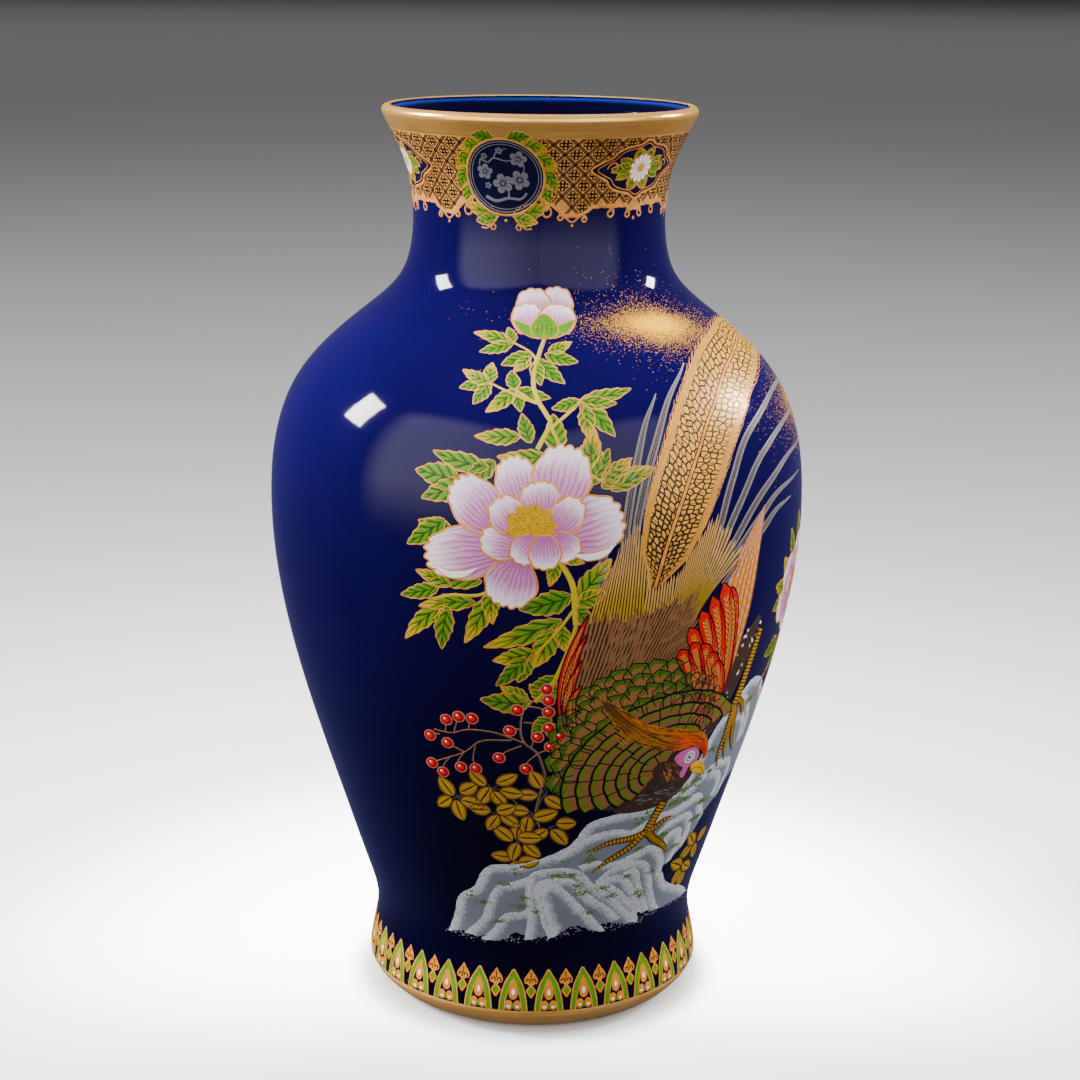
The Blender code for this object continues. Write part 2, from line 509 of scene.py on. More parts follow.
def line_round(sheet, path, width, finish, lift, height, taper=(1, 1)):
    """A raised line along a path of angles and arcs."""
    radius, along = headings_round(path)
    share = spread(taper, len(path))[:, None]
    offset = RIBBON_ACROSS * width * share
    angle = path[:, :1] - along[:, 1:] * offset / radius[:, None]
    arc = path[:, 1:] + along[:, :1] * offset
    v = np.broadcast_to(np.linspace(0, 1, len(path))[:, None], arc.shape)
    u = np.broadcast_to(RIBBON_ACROSS + 0.5, arc.shape)
    points = on_urn(angle, arc, lift + height * RIBBON_RISE * np.sqrt(share))
    sheet.add(points, grid_faces(*arc.shape)[:, ::-1], np.stack([u, v], -1), finish)


class Value:
    """A number or colour that nodes work out; signs between values make math nodes."""

    def __init__(self, tree, socket):
        self.tree = tree
        self.socket = socket

    def math(self, operation, other=0.0, swapped=False):
        node = self.tree.nodes.new("ShaderNodeMath")
        node.operation = operation
        first, second = (other, self) if swapped else (self, other)
        feed(self.tree, node.inputs[0], first)
        feed(self.tree, node.inputs[1], second)
        return Value(self.tree, node.outputs[0])

    def __add__(self, other):
        return self.math("ADD", other)

    def __sub__(self, other):
        return self.math("SUBTRACT", other)

    def __rsub__(self, other):
        return self.math("SUBTRACT", other, swapped=True)

    def __mul__(self, other):
        return self.math("MULTIPLY", other)

    def __rtruediv__(self, other):
        return self.math("DIVIDE", other, swapped=True)

    def __pow__(self, other):
        return self.math("POWER", other)

    def __abs__(self):
        return self.math("ABSOLUTE")

    def ramp(self, low, high):
        """0 up to low, 1 from high on, smooth in between; low may be the larger."""
        node = self.tree.nodes.new("ShaderNodeMapRange")
        node.interpolation_type = "SMOOTHSTEP"
        feed(self.tree, node.inputs["Value"], self)
        node.inputs["From Min"].default_value = low
        node.inputs["From Max"].default_value = high
        return Value(self.tree, node.outputs["Result"])

    def split(self):
        """The x, y and z of a place."""
        node = self.tree.nodes.new("ShaderNodeSeparateXYZ")
        feed(self.tree, node.inputs[0], self)
        return [Value(self.tree, output) for output in node.outputs]


def feed(tree, socket, value):
    """Links a value to a node's input, or sets it there."""
    if isinstance(value, Value):
        tree.links.new(value.socket, socket)
    else:
        socket.default_value = value


class Finish:
    """The nodes of one material."""

    def __init__(self, name, roughness=0.5, metallic=0.0, specular=0.28, sheen=0.0, coat=0.0):
        self.material = bpy.data.materials.new(name)
        self.material.use_nodes = True
        self.tree = self.material.node_tree
        self.shader = self.tree.nodes["Principled BSDF"]
        self.set("Roughness", roughness)
        self.set("Metallic", metallic)
        self.set("Specular IOR Level", specular)
        self.set("Coat Weight", coat)
        self.set("Coat Roughness", 0.05)
        self.set("Sheen Weight", sheen)

    def set(self, name, value):
        feed(self.tree, self.shader.inputs[name], value)

    def node(self, kind, output=0, **inputs):
        """A new node and its output, with the node's inputs set by name."""
        made = self.tree.nodes.new("ShaderNode" + kind)
        for name, value in inputs.items():
            feed(self.tree, made.inputs[name.replace("_", " ")], value)
        return made, Value(self.tree, made.outputs[output])

    def mix(self, factor, first, second):
        node = self.tree.nodes.new("ShaderNodeMix")
        node.data_type = "RGBA"
        for socket, value in zip((0, 6, 7), (factor, first, second)):
            feed(self.tree, node.inputs[socket], value)
        return Value(self.tree, node.outputs[2])

    def place(self):
        return self.node("TexCoord", "Object")[1]

    def attribute(self, name):
        node, value = self.node("Attribute", "Fac")
        node.attribute_name = name
        return value

    def pattern(self):
        """The piece's own u and v."""
        node, value = self.node("UVMap")
        node.uv_map = "pattern"
        return value.split()[:2]

    def vector(self, x, y, z=0.0):
        return self.node("CombineXYZ", X=x, Y=y, Z=z)[1]

    def noise(self, vector, scale, detail=2.0):
        return self.node("TexNoise", Vector=vector, Scale=scale, Detail=detail)[1]

    def cells(self, vector, feature, randomness=1.0):
        node = self.tree.nodes.new("ShaderNodeTexVoronoi")
        node.voronoi_dimensions = "2D"
        node.feature = feature
        for name, value in (("Vector", vector), ("Scale", 1.0), ("Randomness", randomness)):
            feed(self.tree, node.inputs[name], value)
        return Value(self.tree, node.outputs["Distance"])

    def bump(self, height, strength, depth_mm):
        self.set("Normal", self.node("Bump", Strength=strength, Distance=depth_mm / MM, Height=height)[1])

    def colour(self, value):
        self.set("Base Color", value)

    def rough(self, value, low, high):
        """Roughness that runs between two values."""
        self.set("Roughness", self.node("MapRange", "Result", Value=value, To_Min=low, To_Max=high)[1])


def tone(red, green, blue):
    """A colour from its screen values, 0 to 255, made deeper and more vivid for the enamel."""
    def linear(value):
        value /= 255
        return value / 12.92 if value <= 0.04045 else ((value + 0.055) / 1.055) ** 2.4
    values = [linear(value) for value in (red, green, blue)]
    grey = 0.25 * values[0] + 0.65 * values[1] + 0.10 * values[2]
    return (*(max(grey + (value - grey) * VIVIDNESS, 0.0) * DEPTH for value in values), 1.0)


FINISHES = {}


def finish(name, **options):
    """Registers the material that a function draws, under the function's name."""
    def register(function):
        made = Finish(name, **options)
        function(made)
        FINISHES[function.__name__] = made.material
    return register


# Finishes of one colour with fine specks: the material's name, the size of the specks and their
# detail, both colours, the size of the spots of roughness, and its range
SPECKLED = {
    "recess_glaze": (
        "recess_glaze", 60.0, 3.0, tone(236, 236, 238), tone(222, 224, 228), 300.0, 0.12, 0.3,
    ),
    "navy": (
        "navy_enamel", 200.0, 2.0, (0.002, 0.002, 0.014, 1), (0.004, 0.004, 0.030, 1), 400.0, 0.08, 0.2,
    ),
    "silver_grey": (
        "grey_enamel", 700.0, 3.0, tone(122, 120, 126), tone(96, 94, 100), 500.0, 0.25, 0.45,
    ),
    "petal_white": (
        "white_enamel", 500.0, 3.0, tone(252, 250, 252), tone(228, 218, 230), 600.0, 0.2, 0.36,
    ),
    "twig": ("twig_enamel", 400.0, 3.0, tone(92, 82, 82), tone(58, 50, 48), 500.0, 0.3, 0.55),
    "berry_rim": (
        "berry_rim_enamel", 800.0, 2.0, tone(200, 130, 116), tone(156, 88, 78), 700.0, 0.25, 0.45,
    ),
    "moss_green": ("moss_enamel", 500.0, 2.0, tone(112, 140, 40), tone(74, 100, 22), 500.0, 0.3, 0.5),
    "ink": ("ink_enamel", 500.0, 2.0, tone(10, 8, 12), tone(24, 18, 22), 500.0, 0.15, 0.3),
    "face_pink": ("pink_enamel", 500.0, 3.0, tone(206, 122, 168), tone(176, 92, 138), 500.0, 0.2, 0.36),
    "beak": ("beak_enamel", 300.0, 3.0, tone(240, 200, 40), tone(202, 150, 20), 500.0, 0.18, 0.32),
    "border_green": (
        "border_green_enamel", 420.0, 3.0, tone(104, 150, 56), tone(72, 116, 38), 600.0, 0.2, 0.4,
    ),
    "border_orange": (
        "border_orange_enamel", 420.0, 3.0, tone(216, 148, 86), tone(190, 116, 58), 600.0, 0.2, 0.4,
    ),
}


def speckled(name, specks, detail, first, second, spots, low, high):
    f = Finish(name)
    place = f.place()
    f.colour(f.mix(f.noise(place, specks, detail), first, second))
    f.rough(f.noise(place, spots), low, high)
    return f.material


FINISHES.update({key: speckled(*values) for key, values in SPECKLED.items()})


@finish("cobalt_glaze", specular=0.22, sheen=0.06)
def cobalt(f):
    f.set("Sheen Tint", (0.0, 0.0, 1.0, 1.0))
    f.set("Sheen Roughness", 0.4)
    place = f.place()
    clouds = f.noise(place, 14.0, 3.0).ramp(0.35, 0.7)
    # Painted shade and light: the glaze is darker up to 0.06 m and paler from 0.23 m up, for how the light
    # falls on the body; the clouds are the glaze's own mottling.
    deep = f.mix(clouds, (0.0005, 0.0, 0.006, 1), (0.0008, 0.0, 0.009, 1))
    pale = f.mix(clouds, (0.0026, 0.0, 0.030, 1), (0.0035, 0.0, 0.040, 1))
    f.colour(f.mix(place.split()[2].ramp(0.06, 0.23), deep, pale))
    f.rough(f.noise(place, 260.0), 0.03, 0.09)
    f.bump(f.noise(place, 420.0, 1.0), 0.06, 0.05)


@finish("cobalt_inside")
def cobalt_inside(f):
    place = f.place()
    # Painted light and shade: a bright blue band just under the lip and dark glaze deeper down the mouth,
    # for how the light reaches the inside.
    height = place.split()[2] + f.noise(place, 20.0) * 0.001
    f.colour(f.mix(height.ramp(0.3078, 0.3100), (0.0006, 0.0, 0.009, 1), (0.008, 0.020, 0.26, 1)))
    f.rough(f.noise(place, 260.0), 0.04, 0.12)
    f.bump(f.noise(place, 300.0, 1.0), 0.06, 0.05)


@finish("biscuit_ring", roughness=0.7)
def biscuit(f):
    grain = f.noise(f.place(), 900.0, 4.0)
    f.colour(f.mix(grain, tone(222, 214, 200), tone(196, 186, 170)))
    f.bump(grain, 0.4, 0.1)


@finish("pale_paper", roughness=0.6)
def paper(f):
    """The floor: white near the urn and greyer far away, a painted fall-off of the light, with a painted
    glow round the foot that is left off at its very edge and in front of it.
    """
    place = f.place()
    x, y, _ = place.split()
    reach = x**2.0 + y**2.0
    # Painted fall-off of the light: the floor's colour greys with distance from the urn.
    light_falloff = 1.0 / ((reach * 7.0) ** 1.5 + 1.0)
    white = f.mix(f.noise(place, 3.0, 2.0), (0.82, 0.82, 0.82, 1), (0.80, 0.80, 0.805, 1))
    f.colour(f.mix(light_falloff, (0.118, 0.118, 0.120, 1), white))
    away = reach**0.5
    # A painted glow of light round the foot, left off at its very edge and in front of it.
    glow = away.ramp(0.058, 0.070) * away.ramp(0.24, 0.075) * y.ramp(-0.100, 0.020)
    f.set("Emission Color", (1.0, 1.0, 1.0, 1.0))
    f.set("Emission Strength", glow * 9.0)


def gilded(f):
    place = f.place()
    wear = f.noise(place, 55.0, 5.0)
    stretch, lengthwise = f.node("VectorMath")
    stretch.operation = "MULTIPLY"
    feed(f.tree, stretch.inputs[0], place)
    stretch.inputs[1].default_value = (30.0, 30.0, 900.0)
    brushed = f.noise(lengthwise, 1.0, 3.0)
    worn = f.mix(wear.ramp(0.45, 0.75), (0.95, 0.47, 0.11, 1), (0.76, 0.34, 0.065, 1))
    f.colour(f.mix(brushed.ramp(0.5, 0.8), worn, (1.0, 0.64, 0.22, 1)))
    f.rough(wear, 0.14, 0.34)
    f.bump(brushed, 0.12, 0.04)


@finish("gilding", metallic=0.75)
def gilding(f):
    gilded(f)


@finish("foot_gilding", metallic=0.45)
def foot_gilding(f):
    gilded(f)


@finish("gold_dust", metallic=0.1, specular=0.1)
def dust(f):
    glint = f.noise(f.place(), 1500.0)
    f.colour(f.mix(glint, (1.0, 0.43, 0.0, 1), (1.0, 0.55, 0.01, 1)))
    f.rough(glint, 0.55, 0.75)


@finish("gold_line", metallic=0.15)
def gold_line(f):
    place = f.place()
    f.colour(f.mix(f.noise(place, 300.0, 3.0).ramp(0.35, 0.7), tone(220, 158, 104), tone(190, 128, 78)))
    f.rough(f.noise(place, 700.0), 0.25, 0.5)


@finish("printed_gold", metallic=0.2)
def print_gold(f):
    place = f.place()
    speckle = f.noise(place, 900.0, 3.0)
    patchy = f.noise(place, 60.0, 3.0)
    base = f.mix(patchy.ramp(0.4, 0.65), tone(214, 160, 106), tone(184, 132, 82))
    f.colour(f.mix(speckle.ramp(0.55, 0.75), base, tone(234, 188, 132)))
    f.rough(speckle, 0.22, 0.5)
    f.bump(speckle, 0.2, 0.03)


@finish("petal_enamel")
def petal(f):
    """Pink at the base, white at the rim, with rays that waver."""
    u, v = f.pattern()
    waver = f.noise(f.vector(u * 2.0, v * 3.0, f.attribute("tint") * 40.0), 1.6)
    wave = (u * 30.0 + waver * 6.0).math("SINE")
    base = f.mix((v + waver * 0.25).ramp(0.60, 1.12), tone(196, 148, 178), tone(238, 226, 234))
    deep = f.mix(v.ramp(0.0, 0.62), tone(166, 102, 148), base)
    drawn = f.mix(wave.ramp(0.35, 0.95) * (v.ramp(0.92, 0.45) * 0.75), deep, tone(150, 74, 130))
    rim = f.attribute("shade").ramp(0.86, 0.97)
    f.colour(f.mix(rim, drawn, tone(250, 247, 250)))
    f.rough(waver, 0.18, 0.36)
    f.bump(wave * 0.35 + rim, 0.5, 0.10)


@finish("stamen_enamel", roughness=0.3, specular=0.1)
def stamens(f):
    x, y = f.pattern()
    dash = f.cells(f.vector(x * 0.55, y * 1.7), "F1")
    ground = f.mix(f.noise(f.place(), 350.0, 3.0), tone(206, 174, 0), tone(170, 130, 0))
    f.colour(f.mix(dash.ramp(0.22, 0.14), ground, tone(92, 84, 8)))
    f.bump(dash, 0.6, 0.1)


@finish("leaf_enamel")
def leaf(f):
    """Fresh pads between slanting veins, paler at the edge, some leaves yellow at the tip."""
    u, v = f.pattern()
    tint = f.attribute("tint")
    away = abs(u)
    step = (v * 4.6 - away * 1.25 + 1.5).math("FRACT")
    pad = step.ramp(0.05, 0.35) * step.ramp(1.0, 0.7)
    speck = f.noise(f.place(), 420.0, 3.0)
    fresh = f.mix(tint.ramp(0.0, 1.0), tone(88, 126, 40), tone(118, 142, 48))
    green = f.mix(pad, f.mix(speck, tone(34, 66, 18), tone(52, 86, 24)), fresh)
    coloured = f.mix(v.ramp(0.50, 0.92) * tint.ramp(0.45, 0.7), green, tone(196, 170, 40))
    edged = f.mix(away.ramp(0.62, 0.95) * 0.36, coloured, tone(176, 190, 96))
    vein = step.ramp(0.14, 0.05).math("MAXIMUM", away.ramp(0.10, 0.04))
    f.colour(f.mix(vein * 0.85, edged, tone(36, 50, 12)))
    f.rough(speck, 0.18, 0.4)
    f.bump(pad, 0.7, 0.14)


@finish("stem_enamel")
def stem(f):
    u, v = f.pattern()
    streak = f.noise(f.vector(u * 5.0, v * 0.35), 1.0, 3.0)
    f.colour(f.mix(streak, tone(214, 196, 62), tone(146, 138, 30)))
    f.rough(streak, 0.2, 0.4)
    f.bump(streak, 0.3, 0.06)


@finish("berry_enamel", coat=0.6)
def berry(f):
    u, v = f.pattern()
    offset = ((u + 0.1) ** 2.0 + (v - 0.05) ** 2.0) ** 0.5
    f.colour(f.mix(offset.ramp(0.15, 0.95), tone(232, 40, 14), tone(122, 8, 8)))
    f.rough(f.noise(f.place(), 600.0), 0.1, 0.24)


@finish("golden_leaf_enamel")
def golden_leaf(f):
    away = abs(f.pattern()[0])
    speck = f.noise(f.place(), 380.0, 3.0)
    ground = f.mix(speck, tone(192, 156, 32), tone(150, 118, 20))
    edged = f.mix(away.ramp(0.55, 0.95), ground, tone(112, 78, 14))
    f.colour(f.mix(away.ramp(0.16, 0.07), edged, tone(52, 32, 12)))
    f.rough(speck, 0.2, 0.4)
    f.bump(away.ramp(0.0, 0.35), 0.6, 0.12)


@finish("rock_enamel")
def rock(f):
    """Grey stone, frosted along the ridge and darker away from it, with beds of moss."""
    place = f.place()
    near = f.attribute("shade")
    grain = f.noise(place, 1100.0, 2.0)
    ridge = (near * 0.65 + grain * 1.7).ramp(1.55, 0.80)
    body = f.mix(f.noise(place, 150.0, 4.0).ramp(0.35, 0.65), tone(154, 158, 164), tone(180, 183, 189))
    low = f.mix(near.ramp(0.5, 1.2), body, tone(122, 126, 136))
    pale = f.mix(ridge * 0.8, low, tone(222, 224, 228))
    tuft = f.noise(place, 900.0, 3.0).ramp(0.52, 0.60) * f.noise(place, 95.0, 1.0).ramp(0.60, 0.68)
    f.colour(f.mix(tuft, pale, tone(84, 112, 26)))
    f.rough(grain, 0.3, 0.55)
    f.bump(grain + ridge * 1.5, 0.6, 0.12)


@finish("frost_enamel")
def frost(f):
    grain = f.noise(f.place(), 1300.0, 2.0)
    f.colour(f.mix(grain.ramp(0.35, 0.62), tone(160, 164, 172), tone(224, 226, 230)))
    f.rough(grain, 0.35, 0.6)
    f.bump(grain, 0.5, 0.08)


@finish("tail_gilding")
def tail(f):
    """A gold ground with a net of dark cells inside and a combed fringe at both edges."""
    u, v = f.pattern()
    away = abs(u)
    across = u * TAIL_REACH
    y = v * TAIL_LENGTH
    sheared = y - abs(across) * 0.55
    net = f.cells(f.vector(across * 0.42, sheared * 0.40), "DISTANCE_TO_EDGE", 0.7)
    mesh = (net - v.ramp(0.42, 0.0) * 0.09).ramp(0.15, 0.08)
    barb = (sheared * 0.20).math("FRACT").ramp(0.10, 0.05) * away.ramp(0.10, 0.2)
    fringe = ((y - abs(across) * 2.2) * 0.62).math("FRACT").ramp(0.34, 0.18) * away.ramp(0.74, 0.84)
    line = (mesh.math("MAXIMUM", barb) * away.ramp(0.84, 0.76)).math("MAXIMUM", fringe)
    speck = f.noise(f.place(), 500.0, 3.0)
    f.colour(f.mix(line, f.mix(speck, tone(244, 194, 128), tone(214, 152, 84)), tone(34, 24, 12)))
    f.set("Metallic", 0.3 - line * 0.3)
    f.rough(speck, 0.22, 0.42)
    f.bump(1.0 - line, 0.5, 0.06)


@finish("plume_enamel")
def side_plume(f):
    u, v = f.pattern()
    away = abs(u)
    barbs = (v * 58.0 - away * 1.6).math("FRACT")
    ground = f.mix(f.noise(f.place(), 400.0, 3.0), tone(142, 128, 124), tone(104, 92, 90))
    centre = f.mix(away.ramp(0.5, 0.3), ground, tone(62, 54, 52))
    f.colour(f.mix(barbs.ramp(0.5, 0.3) * away.ramp(0.62, 0.42), centre, tone(24, 20, 20)))
    f.rough(barbs, 0.3, 0.5)
    f.bump(barbs, 0.3, 0.05)


@finish("strand_enamel")
def strand(f):
    """Hair in strands: brown, or, where the tint says so, running from brown to gold."""
    u, v = f.pattern()
    away = abs(u.math("FRACT") - 0.5)
    wander = f.noise(f.vector(u.math("FLOOR") * 3.7, v * 3.0), 1.0)
    level = v + (wander - 0.5) * 0.5
    golden = f.mix(level.ramp(0.12, 0.36), tone(132, 100, 74), tone(176, 146, 52))
    tipped = f.mix(level.ramp(0.55, 0.85), golden, tone(202, 160, 108))
    hair = f.mix(wander, tone(146, 106, 76), tone(112, 84, 66))
    drawn = f.mix(f.attribute("tint").ramp(0.3, 0.6), hair, tipped)
    f.colour(f.mix(away.ramp(0.24, 0.34), drawn, tone(30, 22, 18)))
    f.rough(wander, 0.28, 0.45)
    f.bump(away.ramp(0.45, 0.2), 0.4, 0.06)


@finish("umber_enamel")
def umber(f):
    speck = f.noise(f.place(), 700.0, 3.0)
    f.colour(f.mix(speck, tone(46, 32, 28), tone(70, 52, 44)))
    f.rough(speck, 0.3, 0.5)
    f.bump(speck, 0.3, 0.05)


@finish("red_feather_enamel")
def red_feather(f):
    u, v = f.pattern()
    away = abs(u)
    rim = away.math("MAXIMUM", (v - 0.80) * 5.0)
    barbs = (v * 20.0 - away * 2.2).math("FRACT")
    inner = f.mix(barbs.ramp(0.42, 0.22), tone(206, 134, 88), tone(104, 58, 40))
    red = f.mix(f.noise(f.place(), 420.0, 3.0), tone(214, 32, 22), tone(166, 16, 14))
    f.colour(f.mix(rim.ramp(0.34, 0.44), inner, red))
    f.rough(barbs, 0.2, 0.36)
    f.bump(rim.ramp(0.3, 0.5), 0.5, 0.1)


@finish("orange_feather_enamel")
def orange_feather(f):
    """Dark lines lengthwise, with staggered rows of mauve spots between them."""
    u, v = f.pattern()
    lanes = (u + 1.0) * 3.0
    lane = lanes.math("FRACT")
    check = (v * 17.0 + lanes.math("FLOOR") * 0.5).math("FRACT")
    ground = f.mix(f.noise(f.place(), 420.0, 3.0), tone(228, 156, 80), tone(200, 126, 56))
    spot = check.ramp(0.40, 0.30) * (lane.ramp(0.22, 0.34) * lane.ramp(0.92, 0.80))
    spotted = f.mix(spot, ground, tone(190, 142, 168))
    f.colour(f.mix(lane.ramp(0.20, 0.08), spotted, tone(62, 36, 26)))
    f.rough(lane, 0.25, 0.4)
    f.bump(lane.ramp(0.05, 0.3), 0.4, 0.08)


@finish("covert_enamel")
def covert(f):
    u, v = f.pattern()
    hatch = (u * 6.0).math("FRACT")
    brown = f.mix(hatch.ramp(0.3, 0.15), tone(150, 110, 78), tone(98, 66, 46))
    green = f.mix(f.noise(f.place(), 500.0, 2.0), tone(88, 112, 54), tone(60, 86, 38))
    f.colour(f.mix(v.ramp(0.60, 0.72), brown, green))
    f.rough(hatch, 0.22, 0.4)
    f.bump(v.ramp(0.5, 0.8), 0.4, 0.08)


@finish("hackle_enamel")
def hackle(f):
    u, v = f.pattern()
    hatch = (u * 7.0).math("FRACT")
    brown = f.mix(hatch.ramp(0.3, 0.12), tone(142, 102, 74), tone(90, 62, 44))
    green = f.mix(f.noise(f.place(), 600.0, 3.0), tone(120, 132, 70), tone(86, 98, 46))
    f.colour(f.mix(v.ramp(0.52, 0.68), brown, green))
    f.rough(hatch, 0.22, 0.4)
    f.bump(v.ramp(0.2, 0.9), 0.4, 0.1)


@finish("crest_enamel")
def crest(f):
    """Hair that turns from brown at the back through gold to red over the beak."""
    u, v = f.pattern()
    hair = f.noise(f.vector(u * 5.5, v * 3.2), 2.2, 4.0)
    tail_end = f.mix(v.ramp(0.15, 0.45), tone(100, 68, 38), tone(164, 112, 38))
    front = f.mix(v.ramp(0.52, 0.74), tail_end, tone(206, 92, 22))
    hot = f.mix(v.ramp(0.74, 0.95), front, tone(206, 34, 18))
    lit = f.mix(u.ramp(0.2, 0.9), hot, tone(200, 118, 36))
    f.colour(f.mix(hair.ramp(0.56, 0.66), lit, tone(74, 34, 14)))
    f.rough(hair, 0.22, 0.42)
    f.bump(hair, 0.5, 0.08)


@finish("leg_enamel")
def leg(f):
    u, v = f.pattern()
    ringed = (v * 0.75).math("FRACT")
    ground = f.mix(abs(u - 0.5).ramp(0.1, 0.5), tone(184, 140, 70), tone(110, 72, 32))
    f.colour(f.mix(ringed.ramp(0.42, 0.22), ground, tone(52, 30, 14)))
    f.rough(ringed, 0.22, 0.42)
    f.bump(ringed, 0.4, 0.08)


@finish("bark_enamel")
def bark(f):
    streak = f.noise(f.place(), 260.0, 4.0)
    f.colour(f.mix(streak.ramp(0.35, 0.65), tone(186, 122, 80), tone(120, 74, 48)))
    f.rough(streak, 0.3, 0.5)


def turned(name, rows, finish):
    """A thin band along the section's arc lengths, right round the urn."""
    sheet = Sheet(name)
    angle = np.linspace(0, 2 * math.pi, TURNS + 1)[None, :]
    lift = np.full((len(rows), 1), GILT_THICKNESS)
    lift[0] = lift[-1] = 0.0
    points = on_urn(angle, rows[:, None], lift)
    u, v = np.broadcast_arrays(angle, rows[:, None])
    sheet.add(points, grid_faces(len(rows), TURNS + 1)[:, ::-1], np.stack([u, v], -1), finish)
    return sheet


def seam_closed(piece):
    """Joins the first and last turn of a turned piece."""
    mesh = bmesh.new()
    mesh.from_mesh(piece.data)
    bmesh.ops.remove_doubles(mesh, verts=mesh.verts, dist=1e-6)
    mesh.to_mesh(piece.data)
    mesh.free()


def glazed_body():
    """The whole glazed surface: outside, inside, floor, and the bare ring and recess underneath."""
    sheet = Sheet("glazed_body")
    turns = np.linspace(0, 2 * math.pi, TURNS + 1)[None, :]

    def band(radii, levels, finish):
        radii, levels = np.array(radii)[:, None], np.array(levels)[:, None]
        points = np.stack([radii * np.sin(turns), -radii * np.cos(turns), levels + 0 * turns], -1) / MM
        u, v = np.broadcast_arrays(turns, levels)
        sheet.add(points, grid_faces(len(radii), TURNS + 1)[:, ::-1], np.stack([u, v], -1), finish)

    def wall(arcs, finish):
        place = on_urn(0.0, arcs, 0.0) * MM
        band(-place[:, 1], place[:, 2], finish)

    lip = arc_at(HEIGHT - WALL / 2)
    low = GLAZE_INSET
    inner = STANDING_RADIUS - RING_WIDTH
    recess = RECESS_DEPTH + GLAZE_INSET
    slope = inner - RECESS_SLOPE
    band([AXIS_GAP, 15, 30, slope], [recess] * 4, "recess_glaze")
    band([slope, inner], [recess, low], "biscuit")
    band([inner, STANDING_RADIUS], [low, low], "biscuit")
    wall(np.linspace(0.0, lip, 150), "cobalt")
    wall(np.linspace(lip, ARCS[-1], 90), "cobalt_inside")
    floor = on_urn(0.0, ARCS[-1:], 0.0)[0] * MM
    band(np.linspace(-floor[1], AXIS_GAP, 6), [floor[2]] * 6, "cobalt_inside")
    piece = sheet.build()
    seam_closed(piece)
    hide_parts("urn_body")


def gilt_bands():
    """The gilding of the foot and of the lip."""
    turned("gilt_foot", np.linspace(0.35, arc_at(GILT_FOOT_TOP), 22), "foot_gilding").build()
    low = arc_at(GILT_LIP_BOTTOM)
    turned("gilt_lip", np.linspace(low, low + GILT_LIP_REACH, 26), "gilding").build()


def faded(lamp, outer, inner_share):
    """Fades a panel's light at its outer side, at share 0 or 1 across it, and at both ends."""
    lamp.use_nodes = True
    tree = lamp.node_tree
    place = tree.nodes.new("ShaderNodeSeparateXYZ")
    tree.links.new(tree.nodes.new("ShaderNodeNewGeometry").outputs["Parametric"], place.inputs[0])
    strength = None
    for axis, dark, bright, least in (
        (0, outer, abs(outer - 0.22), 0.0),
        (0, 1 - outer, abs(outer - 0.35), inner_share),
        (1, 0.0, 0.3, 0.0),
        (1, 1.0, 0.78, 0.0),
    ):
        ramp = tree.nodes.new("ShaderNodeMapRange")
        ramp.interpolation_type = "SMOOTHSTEP"
        tree.links.new(place.outputs[axis], ramp.inputs["Value"])
        ramp.inputs["From Min"].default_value = dark
        ramp.inputs["From Max"].default_value = bright
        ramp.inputs["To Min"].default_value = least
        if strength:
            product = tree.nodes.new("ShaderNodeMath")
            product.operation = "MULTIPLY"
            tree.links.new(strength, product.inputs[0])
            tree.links.new(ramp.outputs["Result"], product.inputs[1])
            strength = product.outputs[0]
        else:
            strength = ramp.outputs["Result"]
    tree.links.new(strength, tree.nodes["Emission"].inputs["Strength"])


# The camera in metres and degrees, turned, tipped down and rolled as the photograph's
CAMERA_PLACE = (0, -0.7544, 0.3576)
CAMERA_TURN = -0.102
CAMERA_FALL = 14.674
CAMERA_ROLL = 0.562
FOCAL_LENGTH = 74.46
SENSOR_WIDTH = 36


